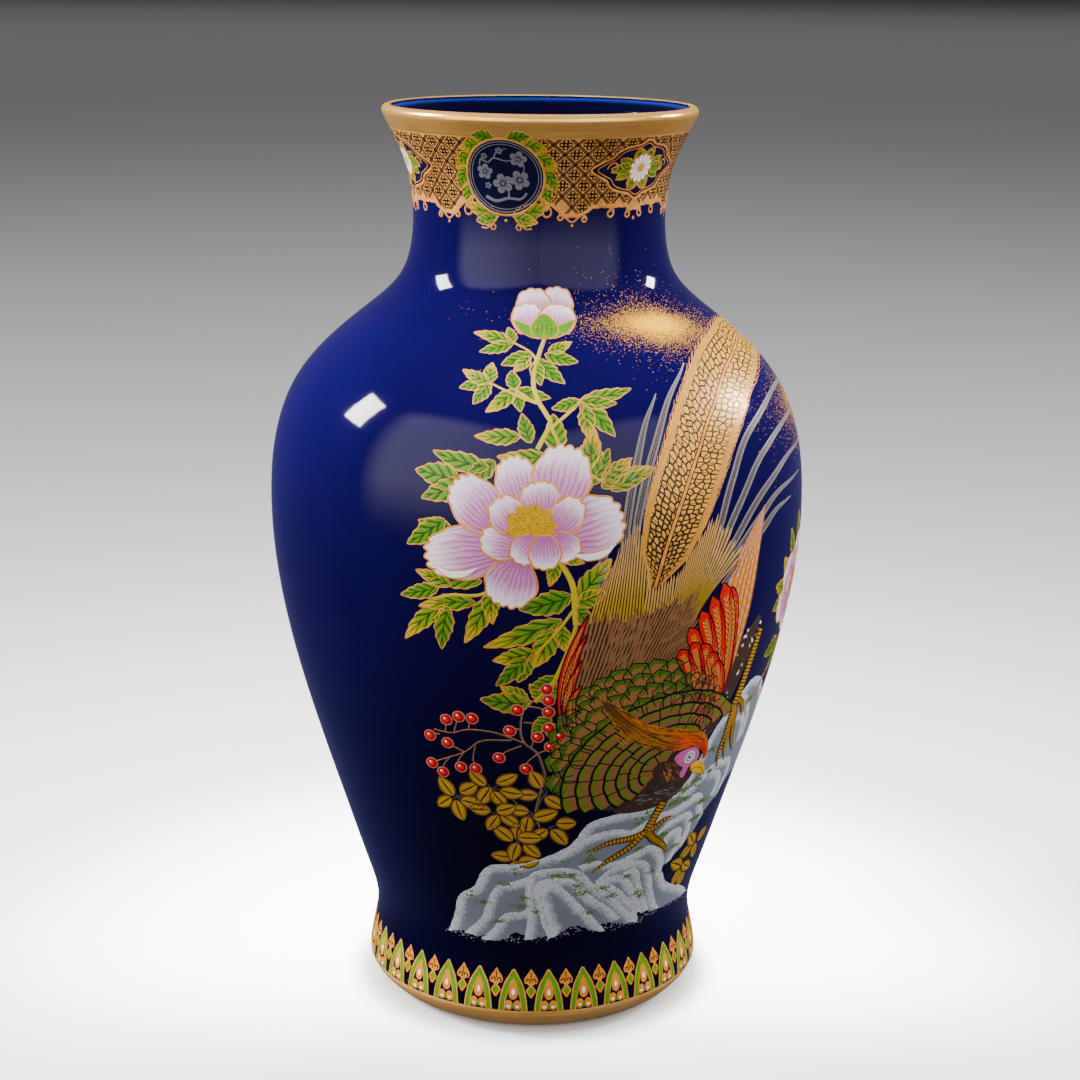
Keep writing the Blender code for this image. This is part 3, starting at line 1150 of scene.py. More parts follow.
def studio():
    """The pale floor, the soft lights and the camera."""
    mesh = bpy.data.meshes.new("floor")
    mesh.from_pydata([(-30, -8, 0), (30, -8, 0), (30, 40, 0), (-30, 40, 0)], [], [(0, 1, 2, 3)])
    mesh.materials.append(FINISHES["paper"])
    floor = bpy.data.objects.new("floor", mesh)
    bpy.context.scene.collection.objects.link(floor)
    floor.visible_glossy = floor.visible_diffuse = False

    def light(name, place, target, width, height, power):
        lamp = bpy.data.lights.new(name, "AREA")
        lamp.shape = "RECTANGLE"
        lamp.size, lamp.size_y = width, height
        lamp.energy = power
        holder = bpy.data.objects.new(name, lamp)
        holder.location = place
        aim = Vector(target) - Vector(place)
        holder.rotation_euler = aim.to_track_quat("-Z", "Y").to_euler()
        bpy.context.scene.collection.objects.link(holder)
        return holder

    light("window_left", (-1.25, 0.10, 0.95), (0, 0, 0.2), 0.30, 0.40, 44)
    light("window_right", (1.20, 0.52, 0.80), (0, 0, 0.2), 0.22, 0.24, 20)
    faded(light("panel_left", (-0.66, -0.80, 0.70), (0, 0, 0.70), 1.70, 1.5, 27).data, 0.0, 0.5)
    faded(light("panel_right", (0.66, -0.80, 0.70), (0, 0, 0.70), 1.70, 1.5, 17).data, 1.0, 0.9)
    for name, place, target, width, height, power in (
        ("soft_left", (-1.6, 0.35, 0.5), (0, 0, 0.15), 0.8, 1.2, 44),
        ("soft_right", (1.6, 0.5, 0.6), (0, 0, 0.15), 0.8, 1.2, 32),
        ("soft_top", (0.0, 0.3, 2.4), (0, 0.3, 0.0), 2.6, 2.6, 235),
        ("backdrop", (0.0, 9.0, 6.0), (0, 9.0, 0.0), 16.0, 12.0, 960),
    ):
        light(name, place, target, width, height, power).visible_glossy = False

    world = bpy.data.worlds.new("studio")
    world.use_nodes = True
    world.node_tree.nodes["Background"].inputs["Color"].default_value = (0.10, 0.10, 0.11, 1)
    world.node_tree.nodes["Background"].inputs["Strength"].default_value = 1.0
    bpy.context.scene.world = world

    lens = bpy.data.cameras.new("camera")
    lens.lens = FOCAL_LENGTH
    lens.sensor_width = SENSOR_WIDTH
    camera = bpy.data.objects.new("camera", lens)
    aim = Matrix.Rotation(math.radians(CAMERA_TURN), 4, "Z")
    aim = aim @ Matrix.Rotation(math.radians(90 - CAMERA_FALL), 4, "X")
    aim = aim @ Matrix.Rotation(math.radians(CAMERA_ROLL), 4, "Z")
    camera.matrix_world = Matrix.Translation(CAMERA_PLACE) @ aim
    bpy.context.scene.collection.objects.link(camera)
    bpy.context.scene.camera = camera


# The places that the picture is drawn about
BUD_CHART = Chart(2, 232)
BLOOM_CHART = Chart(2, 165)
BERRY_CHART = Chart(-12, 95)
ROCK_CHART = Chart(18, 45)
BIRD_CHART = Chart(38, 95)
BACK_CHART = Chart(38, 185)
SIDE_CHART = Chart(74, 150)


def mirrored(half):
    """A closed outline from its right half, which runs from the top to the bottom."""
    half = np.asarray(half, float)
    inner = [point for point in half[::-1] if point[0] > 1e-6]
    return np.concatenate([half, np.array(inner) * (-1, 1)])


# Half widths of leaves from base to tip, as shares of the greatest
LEAF_ROWS = 25
LEAF_SHAPE = (0.10, 0.62, 0.94, 1.02, 0.96, 0.82, 0.62, 0.34, 0.02)
ROUND_SHAPE = (0.05, 0.62, 0.88, 1.0, 1.0, 0.92, 0.74, 0.48, 0.04)


def draw_leaf(
    sheet, base, tip, width, lift, bend=None,
    colour="leaf", line="gold_line", edge=0.36, teeth=0.15, shape=LEAF_SHAPE,
):
    """A leaf from its base to its tip, with a raised outline; bend is its turn in degrees."""
    base, tip = np.array(base, float), np.array(tip, float)
    along = tip - base
    length = np.hypot(*along)
    bend = draws.uniform(-22, 22) if bend is None else bend
    tint = draws.uniform(0, 1)
    direction = math.degrees(math.atan2(along[1], along[0]))
    v = np.linspace(0, 1, LEAF_ROWS)
    centre = spine(base[0], base[1], direction, length, bend, LEAF_ROWS)
    centre += (tip - centre[-1]) * v[:, None]
    half = spread(shape, LEAF_ROWS) * width / 2 * (1 + teeth * (2 * ((v * 4.8 + 0.3) % 1) - 1))
    outline = strip(sheet, centre, half, colour, lift, 5, 0.01, tint)
    ribbon(sheet, outline, edge, line, lift + 0.004, closed=True, height=0.018, step=0.9)


def round_grid(x, y):
    """The path up one side of a grid, across its end and down the other side."""
    return np.stack([np.concatenate([k[:, 0], k[-1, 1:], k[-2::-1, -1]]) for k in (x, y)], 1)


def draw_petal(sheet, base, tip, width, lift, frill=0.05, colour="petal", waist=0.34, edge=0.62):
    """A fan-shaped petal with a raised outline."""
    base, tip = np.array(base, float), np.array(tip, float)
    along = tip - base
    length = np.hypot(*along)
    along /= length
    across = np.array([-along[1], along[0]])
    u = np.linspace(-1, 1, 33)[None, :]
    v = np.linspace(0, 1, 10)[:, None]
    phase = draws.uniform(-0.3, 0.3)
    lobes = np.abs(np.cos(math.pi * (2.5 if width > 12.5 else 1.5) * u + phase)) ** 0.8
    reach = 1 - 0.22 * np.abs(u) ** 3 + frill * (lobes - 0.8)
    fullness = waist + (1 - waist) * np.sin(np.minimum(v / 0.72, 1) * math.pi / 2)
    fullness = fullness * (1 - 0.16 * np.clip((v - 0.7) / 0.3, 0, 1) ** 2)
    forward = length * v * reach
    side = width / 2 * fullness * u
    x = base[0] + along[0] * forward + across[0] * side
    y = base[1] + along[1] * forward + across[1] * side
    u, v = np.broadcast_arrays(u, v)
    near = np.maximum(v**3, np.abs(u) ** 8 * np.clip(v / 0.4, 0, 1))
    height = lift + 0.01 * (1 - u**2) * v
    patch(sheet, x, y, colour, height, u, v, near.ravel(), draws.uniform(0, 1))
    ribbon(sheet, round_grid(x, y), edge, "gold_line", lift + 0.003, closed=True, height=0.017, step=0.7)


def lower_border(x):
    """Where the gold ground of the collar ends below, at a distance round from a cartouche."""
    repeat = 2 * math.pi * COLLAR_RADIUS / COLLAR_REPEATS
    away = np.abs((x + repeat / 2) % repeat - repeat / 2)
    places = (0, 2, 4, 9, 12, 17, 19, 22, 27, 30, 36, 48)
    heights = (-11.5, -11.5, -10.3, -10.3, -10.2, -10.2, -11.3, -13, -13, -10.5, -7, -6)
    return np.interp(away, places, heights)


def collar_ground():
    """The gold ground of the collar with its net of double lines and a knot in each lozenge."""
    sheet = Sheet("collar_diaper", Chart(CARTOUCHE_TURN, COLLAR_LEVEL, COLLAR_RADIUS))
    half = math.pi * COLLAR_RADIUS
    top = arc_at(GILT_LIP_BOTTOM) - sheet.chart.arc + 0.4
    x = np.linspace(-half, half, 361)[None, :]
    v = np.linspace(0, 1, 41)[:, None]
    y = lower_border(x) * (1 - v) + top * v
    x, y = np.broadcast_arrays(x, y)
    patch(sheet, x, y, "print_gold", 0.03, x, y)
    pitch = 2 * half / COLLAR_DIAMONDS
    rise = np.arange(-14.0, top, 0.7)
    for slope in (1, -1):
        for n in range(COLLAR_DIAMONDS):
            for shift in (-0.38, 0.38):
                x = -half + n * pitch + shift + slope * rise
                for run in runs(rise > lower_border(x) + 0.3):
                    path = np.stack([x[run], rise[run]], 1)
                    stroke(sheet, path, 0.40, "ink", 0.05)
    for row in range(-4, 4):
        for n in range(COLLAR_DIAMONDS):
            x = -half + (n + 0.5 * (row % 2 == 0)) * pitch
            y = row * pitch / 2
            if lower_border(x) + 1.4 < y < top - 1.2:
                for side in (-0.55, 0.55):
                    bend = ((-1.9, 0.4), (-1.3, 1.25), (-0.5, 1), (0.5, 1), (1.3, 1.25), (1.9, 0.4))
                    bar = np.array(bend) * (1, side)
                    stroke(sheet, bar + (x, y), 0.54, "ink", 0.052)
                    stroke(sheet, bar[:, ::-1] + (x, y), 0.54, "ink", 0.054)
    sheet.build()


def runs(flags):
    """Slices of the stretches that are true, where they hold three or more."""
    edges = np.flatnonzero(np.diff(np.concatenate([[0], flags.astype(int), [0]])))
    return [slice(a, b) for a, b in zip(edges[::2], edges[1::2]) if b - a >= 3]


def curl(side, x, y, wide, tall, start, end, fade, count=20):
    """A spiral that winds in from an oval, between two angles in radians."""
    return [
        (side * (x + wide * math.cos(t) * (1 - t / fade)), y + tall * math.sin(t) * (1 - t / fade))
        for t in np.linspace(start, end, count)
    ]


def medallion(sheet):
    """A round navy panel with grey sprigs in it and gold leaves round it."""
    centre = -0.4
    disc(sheet, 0, centre, 12.7, "navy", 0.08, rings=7, sides=48)
    for radius, width in ((11.9, 0.36), (11.0, 0.26)):
        ring(sheet, 0, centre, radius, width, "silver_grey", 0.10, height=0.02)
    ring(sheet, 0, centre, 12.9, 0.7, "gold_line", 0.09)
    branches = (
        (((-6.5, -7.0), (-3.0, -8.4), (1.0, -7.4), (5.0, -7.6), (7.0, -5.6)), 1.1),
        (((1.0, -7.4), (1.2, -5.4), (0.0, -3.6)), 0.6),
        (((-7.6, 5.6), (-5.0, 4.4), (-3.0, 6.0), (1.0, 5.0), (4.6, 6.0)), 0.6),
        (((-3.0, 6.0), (-1.6, 8.4), (1.4, 9.4)), 0.45), (((4.6, 6.0), (6.6, 3.4), (6.0, 0.6)), 0.5),
        (((-7.6, 5.6), (-8.0, 3.4), (-7.2, 1.6)), 0.45),
    )
    for path, width in branches:
        path = smooth(np.array(path) + (0, centre), 18)
        ribbon(sheet, path, width, "silver_grey", 0.10, height=0.02, step=0.6, taper=(1, 0.8, 0.6))
    flowers = (
        (-6.4, 1.2, 1.7), (-0.6, -2.6, 2.1), (4.9, -1.4, 2.1), (5.0, 5.8, 1.8), (-1.0, 8.6, 0.8),
        (-6.2, 6.6, 0.7), (-5.6, -3.4, 0.7),
    )
    for x, y, size in flowers:
        turn = draws.uniform(0, 72)
        for n in range(5):
            out = heading(turn + 72 * n) * size
            disc(sheet, x + out[0], y + centre + out[1], size * 0.6, "silver_grey", 0.115, rings=2, sides=12)
            vein = [(x + out[0] * k, y + centre + out[1] * k) for k in (0.3, 0.5, 0.7, 0.9)]
            ribbon(sheet, vein, 0.22, "navy", 0.118, height=0.01, step=0.5)
        disc(sheet, x, y + centre, size * 0.3, "silver_grey", 0.13, rings=1, sides=8)
    for side in (-1, 1):
        for turn in (66, 42, 18, -6, -30):
            base = heading(turn + 15) * 12.4 * (side, 1) + (0, centre)
            tip = heading(turn - 12) * 17.0 * (side, 1) + (0, centre)
            draw_leaf(sheet, base, tip, 4.6, 0.05, bend=side * -40, teeth=0.22)
        for base, tip, width, lift, bend in (
            ((2.2, -12.9), (13.4, -9.0), 5.4, 0.06, 36), ((3.0, -13.2), (10.4, -15.0), 4.0, 0.07, 20),
        ):
            base, tip = (np.array(end) * (side, 1) + (0, centre) for end in (base, tip))
            draw_leaf(sheet, base, tip, width, lift, bend=side * bend, teeth=0.22)
        path = curl(side, 4.4, centre - 16.8, 1.3, 1.3, 1.4, 8.0, 12)
        ribbon(sheet, path, 0.5, "gold_line", 0.05, step=0.45)
        path = ((side * 4.6, centre - 15.6), (side * 6.4, centre - 17.2), (side * 8.4, centre - 17.0))
        ribbon(sheet, smooth(path, 12), 0.45, "gold_line", 0.05, height=0.05)
    disc(sheet, 0, centre - 14.6, 0.5, "gold_line", 0.05, dome=0.05, rings=2, sides=10)


def cartouche(sheet):
    """A navy panel with scrolled corners, a white flower in it and gold leaves round the flower."""
    outline = mirrored(
        ((0, 12.3), (3.5, 10.6), (7.5, 9.9), (11, 8.6), (13, 6.2), (15.5, 5.0), (19.5, 2.2),
         (15.5, -0.4), (13, -1.6), (11, -4.0), (7.5, -5.4), (3.5, -6.2), (0, -8.0))
    )
    outline = smooth(outline, 96, closed=True)
    middle = (0, 2.3)
    fill(sheet, outline, "navy", 0.06)
    ribbon(sheet, outline, 0.75, "gold_line", 0.07, closed=True, height=0.07)
    ribbon(sheet, (outline - (0, 2.2)) * 0.88 + (0, 2.2), 0.3, "gold_line", 0.07, closed=True, height=0.03)
    for turn, reach in ((0, 12.5), (180, 12.5), (62, 8.0), (118, 8.0), (242, 8.4), (298, 8.4)):
        out = heading(turn)
        for splay, length in ((-34, 0.8), (34, 0.8), (0, 1.0)):
            tip = out * 4.4 + heading(turn + splay) * (reach - 4.4) * length
            lift = 0.08 + 0.01 * (splay == 0)
            draw_leaf(sheet, out * 4.0 + middle, tip + middle, 4.0, lift, bend=0, edge=0.34)
    for side in (-1, 1):
        path = curl(side, 11.5, 2.3, 2.3, 2.6, 0, 5.4, 9)
        ribbon(sheet, path, 0.5, "gold_line", 0.08, height=0.03, step=0.6)
    for n in range(13):
        out = heading(360 / 13 * n)
        lift = 0.11 + 0.008 * (n % 2)
        draw_petal(sheet, out + middle, out * 4.9 + middle, 2.0, lift, 0.0, "petal_white", edge=0.2)
    disc(sheet, 0, 2.3, 1.35, "stamens", 0.15, dome=0.06, rings=3, sides=16)


def border_scrolls(sheet):
    """The gold edge below the ground, with its scrolls and drops."""
    x = np.linspace(-36.5, 36.5, 180)
    edge = np.stack([x, lower_border(x) - 0.25 - 0.35 * np.abs(np.sin(x * 0.9))], 1)
    ribbon(sheet, edge, 0.95, "gold_line", 0.05, height=0.07)
    for side in (-1, 1):
        for x, y, size in (
            (3.2, -13.5, 1.5), (10.5, -12.9, 1.8), (33.4, -12.3, 2.1), (20.4, -14.5, 1.2),
            (28.8, -13.8, 1.3),
        ):
            path = curl(side, x, y, size, size, 1.2, 8.4, 14, 22)
            ribbon(sheet, path, 0.66, "gold_line", 0.05, step=0.45)
        drop = ((side * 22.0, -13.6), (side * 24.6, -15.4), (side * 27.2, -13.6))
        ribbon(sheet, smooth(drop, 14), 0.6, "gold_line", 0.05)
        disc(sheet, side * 24.6, -16.4, 0.5, "gold_line", 0.05, dome=0.05, rings=2, sides=10)
    disc(sheet, 0, -14.9, 0.6, "gold_line", 0.05, dome=0.06, rings=2, sides=10)


def collar():
    """The gold collar of the neck, with its panels and its scrolled edge repeated round the urn."""
    collar_ground()
    panels = Sheet("collar_panels")
    scrolls = Sheet("collar_scrolls")
    for n in range(COLLAR_REPEATS):
        turn = 360 / COLLAR_REPEATS * n
        medallion(panels.on(Chart(MEDALLION_TURN + turn, COLLAR_LEVEL)))
        cartouche(panels.on(Chart(CARTOUCHE_TURN + turn, CARTOUCHE_LEVEL)))
        border_scrolls(scrolls.on(Chart(CARTOUCHE_TURN + turn, COLLAR_LEVEL, COLLAR_RADIUS)))
    panels.build()
    scrolls.build()


def lappet(sheet):
    """A green pointed arch with a navy one inside it and an orange flame."""
    shape = mirrored(((0, 14.9), (1.3, 12.6), (2.9, 9.8), (3.9, 6.6), (4.4, 3.4), (4.7, 0)))
    fill(sheet, shape, "border_green", 0.03, step=1.4)
    arch = mirrored(((0, 11.6), (0.8, 9.8), (1.7, 7.4), (2.4, 4.8), (2.8, 2.4), (2.9, 0)))
    fill(sheet, arch, "navy", 0.05, step=1.2)
    flame = mirrored(((0, 11.0), (0.9, 9.0), (1.5, 7.0), (1.4, 5.2), (0.6, 4.2), (0, 4.1)))
    fill(sheet, smooth(flame, 20, closed=True), "border_orange", 0.07, step=0.8)
    for side in (-1, 1):
        disc(sheet, side * 1.45, 2.1, 1.36, "border_orange", 0.07, squash=1.3, rings=2, sides=14)
        disc(sheet, side * 1.45, 1.6, 0.7, "petal_white", 0.09, squash=0.6, rings=1, sides=10)
    disc(sheet, 0, 1.5, 0.7, "border_green", 0.1, rings=1, sides=10)
    disc(sheet, 0, 6.7, 1.1, "petal_white", 0.09, squash=0.5, turn=math.pi / 2, rings=2, sides=10)
    ribbon(sheet, np.concatenate([shape[6:], shape[:6]]), 0.45, "gold_line", 0.05, step=1.1)
    ribbon(sheet, np.concatenate([arch[6:], arch[:6]]), 0.32, "gold_line", 0.06, height=0.04, step=1.1)


def spade(sheet):
    """The orange spade and the green diamond that stand between two lappets."""
    shape = mirrored(
        ((0, 14.7), (0.6, 13.5), (1.5, 12.4), (2.2, 11.0), (1.9, 9.8), (0.9, 9.8), (0.45, 9.0), (0, 8.9))
    )
    shape = smooth(shape, 34, closed=True)
    fill(sheet, shape, "border_orange", 0.05, step=0.8)
    ribbon(sheet, shape, 0.3, "gold_line", 0.06, closed=True, height=0.04)
    for side in (-1, 1):
        ring(sheet, side * 1.0, 10.6, 0.68, 0.40, "ink", 0.07, start=-60, end=200, height=0.01, step=0.4)
    ribbon(sheet, [(0, 11.2), (0, 12.0), (0, 13.0), (0, 13.6)], 0.34, "ink", 0.07, height=0.01, step=0.6)
    diamond = np.array([(0, 9.2), (1.5, 7.2), (0, 4.8), (-1.5, 7.2)])
    fill(sheet, diamond, "border_green", 0.05, step=0.8)
    ribbon(sheet, diamond, 0.55, "border_orange", 0.06, closed=True, height=0.04, step=0.5)


def lappets():
    """The ring of lappets and spades over the foot."""
    sheet = Sheet("foot_lappets")
    for n in range(LAPPETS):
        turn = LAPPET_TURN + 360 / LAPPETS * n
        lappet(sheet.on(Chart(turn, GILT_FOOT_TOP, LAPPET_RADIUS)))
        spade(sheet.on(Chart(turn + 180 / LAPPETS, GILT_FOOT_TOP, LAPPET_RADIUS)))
    sheet.build()


def cloud(sheet, width, height, count, slant=0.0):
    """Specks of gold, dense in the middle of the cloud and thin at its edge."""
    along, across = (
        draws.normal(0, 1, count) * np.where(draws.uniform(0, 1, count) < 0.72, 1.0, 2.1) for _ in range(2)
    )
    x = along * width / 2
    y = across * height / 2 + slant * x
    size = draws.uniform(0.05, 0.14, count)
    turns = draws.uniform(0, 1.5, count)
    corner = np.array([0, 1, 2, 3]) * math.pi / 2
    px = x[:, None] + size[:, None] * np.cos(turns[:, None] + corner)
    py = y[:, None] + size[:, None] * np.sin(turns[:, None] + corner)
    lift = 0.03 + draws.uniform(0, 0.02, count)[:, None] + 0 * px
    faces = np.arange(count * 4).reshape(-1, 4)
    sheet.add(sheet.chart.lay(px, py, lift), faces, np.stack([px, py], -1), "dust")


def gold_dust():
    """The clouds of gold dust beside the bud and over the tail."""
    sheet = Sheet("gold_dust")
    cloud(sheet.on(Chart(41.7, 243.4)), 11.0, 4.6, 12500, -0.10)
    cloud(sheet.on(Chart(41, 242)), 20.0, 9.0, 5600, -0.10)
    cloud(sheet.on(Chart(84, 212)), 22.0, 12.0, 5200)
    cloud(sheet.on(Chart(60, 238)), 30.0, 6.0, 2200, -0.2)
    sheet.build()


def bud():
    """The closed flower over the bloom, in its sepals."""
    sheet = Sheet("bud", BUD_CHART)
    draw_petal(sheet, (3, 22), (4.8, 34.2), 11, 0.05, 0.06, waist=0.6)
    draw_petal(sheet, (-2, 22), (-4.2, 33.6), 11.5, 0.072, 0.06, waist=0.6)
    draw_petal(sheet, (-3.8, 17.0), (-6.2, 28.4), 10.7, 0.094, 0.06, waist=0.75)
    draw_petal(sheet, (3.2, 17.0), (5.2, 28.2), 12, 0.116, 0.06, waist=0.75)
    for side in (-1, 1):
        half = ((0, 14.6), (4.2, 14.8), (7.9, 17.8), (9.7, 22.0), (5.7, 20.4), (3.0, 19.4), (0, 18))
        sepal = smooth(np.array(half) * (side, 1), 36, closed=True)
        fill(sheet, sepal, "border_green", 0.135, step=1.0)
        ribbon(sheet, sepal, 0.4, "gold_line", 0.138, closed=True, height=0.02)
    sepal = smooth(mirrored(((0, 24.6), (2.6, 22.6), (4.4, 19.0), (3.6, 15.6), (0, 14.2))), 36, closed=True)
    fill(sheet, sepal, "border_green", 0.158, step=1.0)
    ribbon(sheet, sepal, 0.4, "gold_line", 0.161, closed=True, height=0.02)
    for x in (-2.4, -0.8, 0.8, 2.4):
        path = ((x * 0.8, 15.8), (x, 17.6), (x * 0.9, 19.4), (x * 0.6, 21.2))
        ribbon(sheet, path, 0.3, "umber", 0.163, height=0.01, step=0.7, taper=(0.4, 1, 0.3))
    sheet.build()


BUD_LEAVES = (
    ((-10, 12.5), (-23, 16), 5), ((-10, 12.5), (-11.5, 19), 3.6), ((-10, 12.5), (-21, 8), 4.6),
    ((-4, 8), (-14, 3), 5.2), ((-5, 7), (-10, 0.5), 4.0), ((0, 8), (10.5, 4.5), 5.2),
    ((1, 9), (8.5, 13), 4.2), ((-3, 6), (6, -3.8), 5.6), ((-3, 5), (-1.5, -4.5), 4.4),
    ((-17.5, -4), (-26.5, 0.5), 4.6), ((-17.5, -4), (-27.5, -6.5), 4.6), ((-17.5, -4), (-16.5, 4), 4.4),
    ((-17.5, -4), (-23, -12), 4.6), ((-9.5, -6), (-10.5, 1.2), 4.4), ((-9.5, -6), (-19, -14.5), 4.8),
    ((-9.5, -6), (1.5, -9), 4.6), ((-9.5, -7), (-8, -14), 4.0), ((10.5, -10), (27.5, -6.5), 5.2),
    ((10.5, -10), (22.5, -11.5), 4.4), ((10.5, -10), (1.5, -12.8), 4.4),
    ((10.5, -10), (21.5, -22.5), 6.2), ((12, -12), (13, -23), 5.2), ((2.5, -27), (2, -14.5), 6.6),
    ((-5, -24), (-7.5, -14.5), 4.8), ((-8, -22), (-22.5, -22.5), 5.0), ((0, -28), (-15.5, -28.5), 5.2),
    ((12, -33), (15, -20), 6.2), ((17, -36), (33.5, -32.5), 5.4), ((17, -36), (27, -29.5), 4.4),
)
BLOOM_LEAVES = (
    ((-27, 36), (-42, 38.5), 8), ((-24, 35), (-40, 30), 7), ((-16, 43), (-26, 36), 6),
    ((-18, 41), (-36, 45), 6), ((-32, 24), (-45, 15), 6.5), ((-30, 22), (-41, 23), 5),
    ((13, 37), (15, 53.5), 7.2), ((14, 36), (19.5, 47), 5.4), ((17, 35), (26.5, 42.5), 5.6),
    ((20, 34), (35, 40), 4.8), ((-20, 5), (-37, 4), 5.2), ((-22, -2), (-41, -5), 5.4),
    ((-17, 1), (-25.5, -16), 6.4), ((-17, 3), (-16.5, -9), 5.4), ((-34, 2), (-47.5, -2), 5.0),
    ((-32, -3), (-46, -17), 5.8), ((-31, -4), (-33, -19), 6.2), ((-30, 3), (-42, 7), 4.6),
    ((3, 13), (1, 4), 4.4), ((4, 14), (12, 11.5), 3.2), ((8, 1), (-8.5, -3.5), 7.6),
    ((5, -7), (-19.5, -17), 6.6), ((2, -10), (-3.5, -23.5), 7.4), ((-3, -18), (-16.5, -21.5), 6.0),
    ((-6, -20), (-15.5, -30.5), 5.4), ((-5, -20), (-8.5, -29), 4.8), ((5, -9), (6.5, -18), 5.0),
    ((10, 0), (20.5, 12.5), 7.2), ((10, -2), (19, 2), 5.6), ((4, -27), (-5, -31), 4.6),
    ((-4, -36), (-20.5, -35.5), 7.0), ((-5, -35), (-14, -30.5), 5.0), ((9, -3), (14, -10), 5.4),
)
STEMS = (
    ("bud", ((0, 15), (-2, 8), (-4, -2), (-3, -9), (0, -15), (1, -18), (-3, -26)), 1.3),
    ("bud", ((-10, 12.5), (-5, 9), (-2.5, 5)), 0.7), ("bud", ((-17.5, -4), (-10, -8), (-3, -11)), 0.7),
    ("bud", ((-9.5, -6), (-6, -9), (-2.5, -11)), 0.7), ("bud", ((10.5, -10), (7, -14), (1.5, -19)), 0.9),
    ("bud", ((1, -18), (4, -26), (5, -34), (2, -40)), 1.2),
    ("bud", ((17, -36), (11, -33), (5, -36)), 0.9),
    ("bloom", ((3, 13), (6.5, 8), (8.5, 3), (9, -3), (9.5, -9)), 1.7),
    ("bloom", ((9, -3), (5, -9), (1, -14), (-3, -19)), 0.9),
    ("bloom", ((-12, 8), (-20, 1), (-30, 0), (-36, -2)), 0.9),
    ("bloom", ((9.5, -9), (7, -18), (3, -28), (-3, -36)), 1.3),
    ("bloom", ((-27, 36), (-21, 33), (-15, 30)), 0.9), ("bloom", ((14, 36), (10, 30), (6, 26)), 0.9),
)


def sprays():
    """Stems and leaves of the bud and of the bloom."""
    charts = {"bud": BUD_CHART, "bloom": BLOOM_CHART}
    stems = Sheet("stems")
    for place, path, width in STEMS:
        path = smooth(path, 26)
        stems.on(charts[place])
        ribbon(stems, path, width, "stem", 0.03, height=0.05, step=1.0, taper=(0.7, 1, 1))
        ribbon(stems, path + sideways(path) * width * 0.55, 0.25, "gold_line", 0.03, height=0.04, step=1.0)
    stems.build()
    for name, place, leaves in (("bud_leaves", "bud", BUD_LEAVES), ("bloom_leaves", "bloom", BLOOM_LEAVES)):
        sheet = Sheet(name, charts[place])
        for n, (base, tip, width) in enumerate(leaves):
            draw_leaf(sheet, base, tip, width, 0.03 + 0.006 * (n % 5))
        sheet.build()


def bloom():
    """The open flower, from its outer petals in to its heart."""
    sheet = Sheet("bloom", BLOOM_CHART)
    petals = (
        ((-12, 16), (-38.5, 12.0), 17.5, 0.08), ((-6, 27), (-11.5, 44.5), 14, 0.08),
        ((3, 19.5), (24.0, 26.0), 20, 0.08), ((-8, 13), (-13.5, -2.5), 17, 0.101),
        ((-14, 21), (-28.5, 36.5), 16, 0.101), ((2, 27), (7.0, 48.0), 18.5, 0.101),
        ((-7, 16.5), (-20.5, 19.0), 11.5, 0.122), ((-1, 26), (-3.0, 37.0), 13, 0.122),
        ((-8, 21), (-15.5, 31.5), 12, 0.143), ((2.5, 21), (10.0, 31.5), 10.5, 0.143),
    )
    for base, tip, width, lift in petals:
        draw_petal(sheet, base, tip, width, lift, 0.075)
    turn = np.linspace(0, 2 * math.pi, 60, endpoint=False)
    reach = 1 + 0.09 * np.cos(9 * turn) + 0.05 * np.cos(14 * turn + 1)
    heart = np.stack([-4.8 + 7.4 * reach * np.cos(turn), 23.6 + 6.2 * reach * np.sin(turn)], 1)
    fill(sheet, heart, "stamens", 0.166, crown=0.008)
    ribbon(sheet, heart, 0.45, "gold_line", 0.169, closed=True, height=0.015)
    for base, tip, width, lift in (
        ((-3.5, 20.0), (-9.5, 12.0), 9.5, 0.187), ((2.5, 20.5), (8.5, 13.0), 10.5, 0.187),
        ((-0.5, 20.5), (-0.5, 9.6), 10.5, 0.208),
    ):
        draw_petal(sheet, base, tip, width, lift, 0.07)
    for path in (
        ((-35.5, 9.6), (-31, 7.0), (-26, 7.2), (-21.5, 9.4)),
        ((8.0, 14.4), (13, 13.4), (18, 14.4), (21.6, 17.0)),
    ):
        ribbon(sheet, smooth(path, 20), 2.9, "gold_line", 0.23, height=0.008, taper=(0.1, 1, 1, 0.1))
        ribbon(sheet, smooth(path, 20), 2.1, "petal_white", 0.235, height=0.012, taper=(0.1, 1, 1, 0.1))
    sheet.build()


